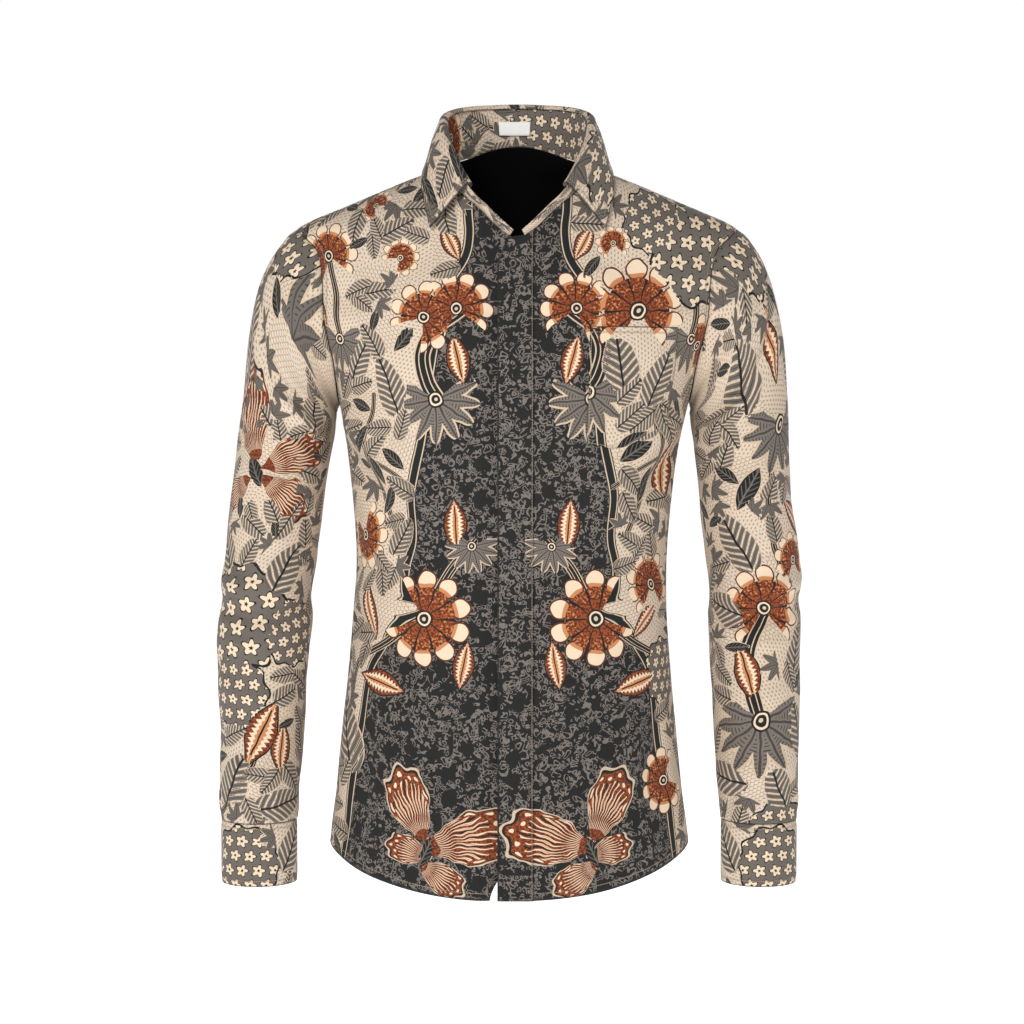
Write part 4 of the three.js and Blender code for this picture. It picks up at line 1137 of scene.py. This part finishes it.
SLEEVE = np.array([
    # outer x, outer height, inner x, inner height, depth, forward
    (232, -80, 174.8, -239, 62, -1),
    (244, -98, 175.2, -241, 63, -1),
    (256, -128, 175.6, -244, 63.5, 0),
    (265, -172, 176.2, -248, 63, 0),
    (270, -226, 177.6, -256, 61.5, 0),
    (275, -281, 181.5, -286, 59.5, 1),
    (279.5, -333, 187, -335, 57, 3),
    (284.5, -377, 192.5, -378, 55, 6),
    (289, -418, 197.5, -412, 53.5, 9),
    (287.5, -431, 199, -431, 52.5, 10),
    (290.5, -452, 197.5, -450, 52, 11),
    (290, -500, 200.5, -500, 50, 14),
    (288.5, -548, 203.5, -548, 47.5, 17),
    (288, -600, 207, -600, 44, 20),
    (287, -634, 209.5, -634, 41.5, 22),
    (286.5, -649.85, 210.5, -649.85, 39.5, 23),
])
SLEEVE_FOOT = -650
SLEEVE_CREASE_DEPTH, SLEEVE_UNEVEN = 2.0, 1.2
CAP_RISE, CAP_AT, CAP_SPREAD, ARMHOLE_DRAWN = 1.3, 9, 6, 0.5
# Around from the outer line, forwards, and up along the arm.
SLEEVE_CREASES = (
    (28, -178, 128, -236, 7, -2.6), (60, -205, 140, -262, 8, 2.2), (95, -262, 146, -280, 6, -1.8),
    (20, -246, 70, -262, 7, 1.2), (40, -300, 130, -318, 11, 1.3),
    (18, -436, 140, -441, 7, -3.0), (10, -405, 120, -414, 9, 1.8), (30, -468, 138, -462, 9, 2.0),
    (60, -378, 145, -384, 8, -1.6), (24, -512, 128, -528, 11, 1.5), (20, -586, 118, -600, 12, 1.4),
    (-30, -250, -128, -280, 12, 1.8), (-24, -432, -130, -446, 10, -2.4), (-20, -404, -120, -398, 10, 1.8),
    (-30, -520, -120, -540, 12, 1.5), (50, -618, 60, -648, 7, -1.2), (84, -612, 88, -648, 7, 1.1),
    (-50, -612, -46, -648, 7, 1.2), (18, -612, 14, -648, 6, 1.0), (-90, -606, -96, -648, 8, -1.2),
)
# The wearer's right sleeve's motifs, then the left's: around, up, size, turn, kind.
SLEEVE_MOTIFS = {
    -1: (
        (62, -300, 92, 104, WING), (66, -300, 80, 22, WING), (66, -306, 72, -34, WING),
        (58, -308, 62, 212, WING), (62, -303, 20, 120, LEAF), (40, -128, 40, 0, STARS),
        (104, -176, 50, 85, SPRAY), (52, -446, 58, 10, STARS), (112, -462, 36, 10, STARS),
        (46, -520, 40, 0, STARS), (74, -560, 36, 62, POD), (94, -576, 26, 80, POD),
        (100, -400, 32, 60, FERN), (20, -376, 30, 120, FERN), (122, -236, 28, 80, FERN),
        (24, -196, 28, 110, FERN), (40, -610, 34, 60, FERN), (92, -632, 30, 10, FERN),
        (-60, -250, 44, 30, STARS), (-70, -470, 44, 60, STARS), (-60, -170, 33, 80, FAN),
        (-70, -340, 40, -90, DAISY), (-66, -410, 28, 80, POD), (-60, -560, 36, 70, FAN),
        (-64, -630, 28, 100, POD),
    ),
    1: (
        (44, -262, 46, -95, DAISY), (70, -548, 56, -92, DAISY), (72, -437, 42, 88, FAN),
        (20, -352, 30, 42, POD), (88, -500, 30, 70, POD), (50, -206, 26, 80, POD),
        (84, -320, 24, 120, LEAF), (36, -390, 26, 84, FAN), (96, -212, 40, 70, FERN),
        (100, -372, 34, 60, FERN), (40, -140, 42, 0, STARS), (40, -664, 40, 0, STARS),
        (28, -480, 30, 100, FERN), (112, -440, 30, 20, FERN), (20, -560, 30, 70, FERN),
        (110, -606, 32, 10, FERN), (46, -616, 30, 60, FERN), (-60, -250, 44, 30, STARS),
        (-70, -470, 44, 60, STARS), (-60, -170, 33, 80, FAN), (-70, -340, 40, -90, DAISY),
        (-66, -410, 28, 80, POD), (-60, -560, 36, 70, FAN), (-64, -630, 28, 100, POD),
    ),
}
SLEEVE_STEMS = {
    -1: (
        (3.0, ((70, -556), (64, -590), (44, -616), (20, -640))),
        (3.4, ((-60, -170), (-70, -220), (-60, -250), (-76, -300), (-70, -340), (-66, -410), (-70, -470))),
    ),
    1: (
        (3.4, ((44, -262), (58, -300), (64, -340), (60, -380), (50, -404))),
        (7.0, ((69, -437), (85, -466), (87, -500), (72, -548))),
        (3.4, ((-60, -170), (-70, -220), (-60, -250), (-76, -300), (-70, -340), (-66, -410), (-70, -470))),
    ),
}


def sleeve_print():
    """The cloth of sleeves, cuffs and collar: cream ground, stems and motifs."""
    material, shader, where = cloth_shader("sleeve_print")
    color = draw_stems(cream_ground(where), where)
    color = draw_motifs(color, where)
    return finish_cloth(material, shader, where, color)


def sleeve_form(side, columns):
    """Rings of points round the arm, the first the armhole itself: each an ellipse tilted by
    the heights of its outer and inner points."""
    swing = np.linspace(-180, 180, columns + 1)[:-1]
    arm_turn, arm_z = armhole(np.abs(swing), swing < 0)
    rings = [body_point(side, arm_turn, arm_z)]
    outward = (1 + np.cos(np.radians(swing))) / 2
    for outer_x, outer_z, inner_x, inner_z, depth, forward in SLEEVE:
        z = inner_z + (outer_z - inner_z) * outward
        x = side * (inner_x + (outer_x - inner_x) * outward) + lean_at(z)
        rings.append(np.stack([x, -forward - depth * np.sin(np.radians(swing)), z], -1))
    return np.array(rings), swing


sleeve_cloth = sleeve_print()
for side, hand_name, seed in ((1, "left", 21), (-1, "right", 22)):
    columns = 48 * DETAIL
    rings, swing = sleeve_form(side, columns)
    apart = np.linalg.norm(np.diff(rings, axis=0), axis=-1).mean(1)
    down = np.r_[0, np.cumsum(apart)]
    steps = np.linspace(0, down[-1], 80 * DETAIL)
    sleeve_grid = through(down, rings)(steps)
    closed = np.concatenate([sleeve_grid, sleeve_grid[:, :1]], 1)
    round_arm = np.concatenate([np.zeros((len(steps), 1)),
                                np.cumsum(np.linalg.norm(np.diff(closed, axis=1), axis=-1), axis=1)], 1)
    sleeve_u = round_arm - round_arm[:, columns // 2:columns // 2 + 1]
    sleeve_v = (SLEEVE_FOOT + down[-1] - steps)[:, None] + 0 * sleeve_u
    at_u, at_v = sleeve_u[:, :-1], sleeve_v[:, :-1]
    free = (smooth(steps, 0, 26) * smooth(down[-1] - steps, 0, 10))[:, None]
    cap = np.clip(np.cos(np.radians(swing)), 0, 1)[None, :]
    sleeve_rise = free * (SLEEVE_CREASE_DEPTH * creased(at_u, at_v, SLEEVE_CREASES)
                          + uneven(at_u, at_v, seed, 90, SLEEVE_UNEVEN))
    sleeve_rise += CAP_RISE * cap * np.exp(-((steps[:, None] - CAP_AT) / CAP_SPREAD) ** 2)
    sleeve_rise -= ARMHOLE_DRAWN * np.exp(-(steps[:, None] / SEAM_SPREAD) ** 2)
    sleeve_grid = sleeve_grid + side * normals_of(sleeve_grid, True) * sleeve_rise[..., None]
    sleeve = cloth(f"sleeve_{hand_name}_cloth", sleeve_grid, sleeve_u, sleeve_v, SHIRTING,
                   turned=side < 0, wraps=True)
    print_motifs(sleeve, sprigs(np.array(SLEEVE_MOTIFS[side], float), seed, (-150, 150), (-660, -110)))
    print_stems(sleeve, [(half, flowing(line)) for half, line in SLEEVE_STEMS[side]])
    dress(sleeve, sleeve_cloth, f"sleeve_{hand_name}")


# ---- Cuffs ----
# Each cuff is two layers with interlining, a band a little longer than once round, with its
# end buttoned over its beginning at the back of the wrist.

CUFF_TOP, CUFF_BOTTOM, CUFF_HALF, CUFF_DEPTH = -650.15, -713, 37.2, 36
CUFF_CENTRE, CUFF_FORWARD = 248.8, 24
CUFF_OVERLAP, CUFF_SLIT, CUFF_LIFT, CUFF_RAMP = 28, 118, 2.7, 0.12
CUFF_THICK, CUFF_FULL, CUFF_FULL_FROM = 2.0, 0.6, 9
CUFF_MOTIFS = np.array([(44, -690, 40, 0, STARS), (100, -674, 30, 60, FERN), (4, -676, 28, 110, FERN),
                        (160, -682, 40, 0, STARS), (-50, -684, 30, 90, DAISY)], float)
CUFF_STEM = (2.6, np.array([(14.0, -700), (40, -672), (60, -660)]))


def cuff_point(side, degrees, z, off):
    """An oval band: its centre's x, plus or minus half its width by the cosine, its depth by
    the sine."""
    angle = np.radians(degrees)
    x = CUFF_CENTRE + (CUFF_HALF + off) * np.cos(angle)
    return np.stack([side * x + lean_at(z), -CUFF_FORWARD + (CUFF_DEPTH + off) * np.sin(angle), z], -1)


for side, hand_name, seed in ((1, "left", 31), (-1, "right", 32)):
    cuff_t = np.linspace(0, 1, 70 * DETAIL)[None, :]
    cuff_z = np.linspace(CUFF_BOTTOM, CUFF_TOP, 12 * DETAIL)[:, None] + 0 * cuff_t
    cuff_whole = 360 + CUFF_OVERLAP
    cuff_lift_end = 1 - CUFF_OVERLAP / cuff_whole
    cuff_degrees = CUFF_SLIT - cuff_whole * (1 - cuff_t) + 0 * cuff_z
    from_edge = np.minimum(cuff_z - CUFF_BOTTOM, CUFF_TOP - cuff_z)
    cuff_off = (CUFF_LIFT * smooth(cuff_t, cuff_lift_end - CUFF_RAMP, cuff_lift_end)
                + CUFF_FULL * smooth(from_edge, 0, CUFF_FULL_FROM))
    cuff_grid = cuff_point(side, cuff_degrees, cuff_z, cuff_off)
    cuff_u = np.radians(cuff_degrees) * -(CUFF_HALF + CUFF_DEPTH) / 2
    cuff = cloth(f"cuff_{hand_name}_cloth", cuff_grid, cuff_u, cuff_z, CUFF_THICK, turned=side < 0)
    print_motifs(cuff, sprigs(CUFF_MOTIFS, seed, (-280, 200), (-716, -650)))
    print_stems(cuff, [CUFF_STEM])
    stitch(cuff, cuff_grid, left=0, right=0, foot=0, head=0)
    dress(cuff, sleeve_cloth, f"cuff_{hand_name}", sleeve_cloth)


# ---- Collar stand ----
# The upright band round the neck, two layers with interlining, that the leaf folds over.

BACK_STATIONS = np.array([
    # turn, fold x, y, height, edge x, y, height
    (180, 0, 65, 60, 0, 81, 14),
    (157.5, 25, 62, 59, 31, 78, 13),
    (135, 47, 51, 56.5, 58, 65, 9),
    (112.5, 64, 32, 51, 78, 40, 3.5),
    (90, 71.5, 8, 42, 89.5, 8, -3.5),
])
FRONT_STATIONS = np.array([
    # seam x, seam height, fold x, y, height, edge x, y, height
    (66, -14, 69.5, -20, 23, 92.5, -26, -13),
    (61, -25, 62, -44, 3, 92, -55, -35),
    (53, -36, 47, -67, -29, 84, -83, -70),
    (34, -53, 29, -78, -48, 84, -83, -70),
    (20, -67, 15, -85, -62, 84, -83, -70),
    (7, -77, 4, -89, -72, 84, -83, -70),
])
STAND_WALL = 1.6


def collar_half(side):
    """Seam, fold and edge points of one half, from the centre back to the front."""
    turns = np.r_[BACK_STATIONS[:, 0], turn_at_x(FRONT_STATIONS[:, 0], FRONT_STATIONS[:, 1])]
    back_heights = BACK_NECK_RISE * np.sin(np.radians(BACK_STATIONS[:, 0] - 90)) ** 2
    heights = np.r_[back_heights, FRONT_STATIONS[:, 1]]
    seam = body_point(side, turns, heights)
    under_fly = np.where((side < 0) & (turns < 90), smooth(seam[:, 0], FLY_EDGE - 18, FLY_EDGE - 3), 0)
    seam[:, 1] += UNDERLAP_DEPTH * under_fly
    flip = np.array([side, 1, 1])
    shift = np.array([lean_at(0), 0, 0])
    fold = np.concatenate([BACK_STATIONS[:, 1:4], FRONT_STATIONS[:, 2:5]]) * flip + shift
    edge = np.concatenate([BACK_STATIONS[:, 4:7], FRONT_STATIONS[:, 5:8]]) * flip + shift
    return seam, fold, edge


right_half, left_half = collar_half(-1), collar_half(1)
seam_line, fold_line, edge_line = (np.concatenate([r[::-1], l[1:]]) for r, l in zip(right_half, left_half))
stations = np.arange(len(seam_line))
round_neck = np.linspace(0, len(seam_line) - 1, 20 * 5 * DETAIL + 1)
seam = through(stations, seam_line)(round_neck)
fold = through(stations, fold_line)(round_neck)
rise = fold - seam
rise /= np.linalg.norm(rise, axis=1, keepdims=True)
out = np.cross(rise, np.gradient(fold, axis=0))
out /= np.linalg.norm(out, axis=1, keepdims=True)
neck_length = np.r_[0, np.cumsum(np.linalg.norm(np.diff(seam, axis=0), axis=1))]
neck_length -= neck_length[-1] / 2

stand_t = np.linspace(0, 1, 10 * DETAIL)[:, None, None]
stand_grid = seam[None] * (1 - stand_t) + fold[None] * stand_t + rise[None] * 0.3
stand_u = np.broadcast_to(neck_length[None], stand_grid.shape[:2])
stand_v = np.broadcast_to(stand_t[..., 0] * 38 + 300, stand_grid.shape[:2])
stand = cloth("collar_stand_cloth", stand_grid, stand_u, stand_v, STAND_WALL)
stand_motifs = np.array([(-90, 320, 26, 0, FAN), (30, 320, 40, 0, STARS), (80, 322, 34, 10, STARS)], float)
print_motifs(stand, sprigs(stand_motifs, 41, (-240, 240), (296, 345), step=20))
print_stems(stand, [(2.6, np.array([(-60.0, 310), (-30, 322), (0, 312)]))])
stitch(stand, stand_grid, foot=4)
dress(stand, sleeve_cloth, "collar_stand", sleeve_cloth)


# ---- Collar ----
# The leaf: two layers, rolled over the stand's top edge, falling to its own edge and ending
# in a point on each side.

ROLL, LEAF_BULGE, LEAF_WALL = 3.2, 3.0, 1.6
LEAF_FROM = 3

leaf_at = np.linspace(LEAF_FROM, len(stations) - 1 - LEAF_FROM, 14 * 5 * DETAIL + 1)
pick = lambda line: through(round_neck, line)(leaf_at)
leaf_fold, leaf_rise, leaf_out = pick(fold), pick(rise), pick(out)
leaf_edge = through(stations[LEAF_FROM:-LEAF_FROM], edge_line[LEAF_FROM:-LEAF_FROM])(leaf_at)
leaf_start = leaf_fold + 0.3 * leaf_rise - STAND_WALL * leaf_out
leaf_middle = leaf_start + ROLL * leaf_out
turns = np.radians(np.linspace(0, 180, 9))[:, None, None]
leaf_roll = leaf_middle + ROLL * (leaf_rise * np.sin(turns) - leaf_out * np.cos(turns))
fall = np.linspace(0, 1, 14 * DETAIL)[1:, None, None]
leaf_fall = (leaf_roll[-1] * (1 - fall) + leaf_edge * fall
             + leaf_out * LEAF_BULGE * np.sin(np.pi * fall) * (1 - fall))
leaf_grid = np.concatenate([leaf_roll, leaf_fall])
leaf_down = np.concatenate([np.zeros((1, len(leaf_at))),
                            np.cumsum(np.linalg.norm(np.diff(leaf_grid, axis=0), axis=-1), axis=0)])
leaf_u = np.broadcast_to(through(round_neck, neck_length)(leaf_at)[None] * 1.1, leaf_down.shape)
leaf = cloth("collar_cloth", leaf_grid, leaf_u, 500 - leaf_down, LEAF_WALL, turned=True)
leaf_motifs = np.array([(165, 462, 34, 0, STARS), (120, 470, 34, 0, STARS), (60, 470, 30, 0, STARS),
                        (-60, 470, 26, 60, FAN)], float)
print_motifs(leaf, sprigs(leaf_motifs, 42, (-230, 230), (420, 510), step=20))
print_stems(leaf, [(3.0, np.array([(-190.0, 440), (-150, 470), (-110, 480)]))])
stitch(leaf, leaf_grid, left=0, right=0, head=0)
dress(leaf, sleeve_cloth, "collar", sleeve_cloth)


# ---- Neck label ----
# A small woven tape label, bare, sewn inside the back of the stand.

LABEL_LEFT, LABEL_RIGHT, LABEL_BOTTOM, LABEL_TOP, LABEL_THICK, LABEL_OFF = -20, 14, 33, 47, 0.6, 0.55


def label_tape():
    """White woven tape: fine ribs both ways as bump, a little uneven in colour."""
    material, shader, where = cloth_shader("label_tape")
    u = where.axis(0)
    v = where.axis(1)
    rib = (v * 12000.0).sin() * 0.5 + (u * 12000.0).sin() * 0.3
    noise = where.make("ShaderNodeTexNoise", {}, {"Vector": where, "Scale": 500.0})
    color = noise.between(rgb(232, 230, 226), rgb(246, 245, 242))
    bump = where.make("ShaderNodeBump", {}, {"Strength": 0.4, "Distance": 0.0002, "Height": rib})
    material.node_tree.links.new(color.socket, shader.inputs["Base Color"])
    material.node_tree.links.new(bump.socket, shader.inputs["Normal"])
    shader.inputs["Roughness"].default_value = 0.6
    return material


back_third = (round_neck > 8) & (round_neck < 12)
label_x = np.linspace(LABEL_LEFT, LABEL_RIGHT, 16)
label_at = np.interp(label_x + lean_at(0), fold[back_third, 0], round_neck[back_third])
low, high, outward = (through(round_neck, line)(label_at) for line in (seam, fold, out))
label_z = np.linspace(LABEL_BOTTOM, LABEL_TOP, 8)[:, None, None]
label_share = (label_z - low[None, :, 2:]) / (high[None, :, 2:] - low[None, :, 2:])
label_grid = low * (1 - label_share) + high * label_share - outward * (STAND_WALL + LABEL_OFF + LABEL_THICK)
label_u, label_v = np.broadcast_arrays(label_x[None], label_z[..., 0])
label = cloth("neck_label_tape", label_grid, label_u, label_v, LABEL_THICK)
tape = label_tape()
dress(label, tape, "neck_label", tape)


# ---- Cuff buttons ----
# A flat dark button on each cuff, with a raised rim.

BUTTON_RADIUS, BUTTON_THICK, BUTTON_HEIGHT, BUTTON_GAP = 5.5, 2.0, -684, 0.6
BUTTON_PROFILE = np.array([
    # out from the middle, height, as shares of radius and thickness
    (0, 0.72), (0.3, 0.72), (0.62, 0.72), (0.7, 0.86), (0.8, 1.0), (0.92, 0.96), (1.0, 0.7),
    (1.0, 0.25), (0.9, 0.02), (0.4, 0), (0, 0),
])


def button_horn():
    """Dark horn with streaks of brown, polished."""
    material = bpy.data.materials.new("button_horn")
    material.use_nodes = True
    tree = material.node_tree
    shader = tree.nodes["Principled BSDF"]
    root = Wire(tree, shader.outputs[0])
    where = root.make("ShaderNodeTexCoord", {}, {}, 3)
    streak = where.make("ShaderNodeTexNoise", {}, {"Vector": where, "Scale": 320.0, "Distortion": 1.5})
    color = streak.between(rgb(34, 28, 24), rgb(82, 66, 52))
    tree.links.new(color.socket, shader.inputs["Base Color"])
    shader.inputs["Roughness"].default_value = 0.32
    return material


horn = button_horn()
for side, hand_name in ((1, "left"), (-1, "right")):
    button_turn, button_z = np.array(CUFF_SLIT - 0.5 * CUFF_OVERLAP), np.array(float(BUTTON_HEIGHT))
    seat, ahead = (cuff_point(side, button_turn, button_z, CUFF_LIFT + gap)
                   for gap in (BUTTON_GAP, 2 * BUTTON_GAP))
    facing = (ahead - seat) / np.linalg.norm(ahead - seat)
    across = np.cross((0, 0, 1), facing)
    up = np.cross(facing, across)
    angle = np.linspace(0, 2 * np.pi, 41)[None, :-1, None]
    radius = BUTTON_PROFILE[:, 0][:, None, None] * BUTTON_RADIUS
    height = BUTTON_PROFILE[:, 1][:, None, None] * BUTTON_THICK
    disc = seat + radius * (np.cos(angle) * across + np.sin(angle) * up) + height * facing
    rows, columns = disc.shape[:2]
    index = np.arange(rows * columns).reshape(rows, columns)
    index = np.concatenate([index, index[:, :1]], 1)
    quads = np.stack([index[:-1, :-1], index[1:, :-1], index[1:, 1:], index[:-1, 1:]], -1)
    mesh = bpy.data.meshes.new(f"cuff_button_{hand_name}_horn")
    mesh.from_pydata(disc.reshape(-1, 3) * MM, [], quads.reshape(-1, 4))
    mesh.polygons.foreach_set("use_smooth", np.ones(len(mesh.polygons), bool))
    button = bpy.data.objects.new(f"cuff_button_{hand_name}_horn", mesh)
    bpy.context.scene.collection.objects.link(button)
    mesh.materials.append(horn)
    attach(button, "root")
    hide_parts(f"cuff_button_{hand_name}")
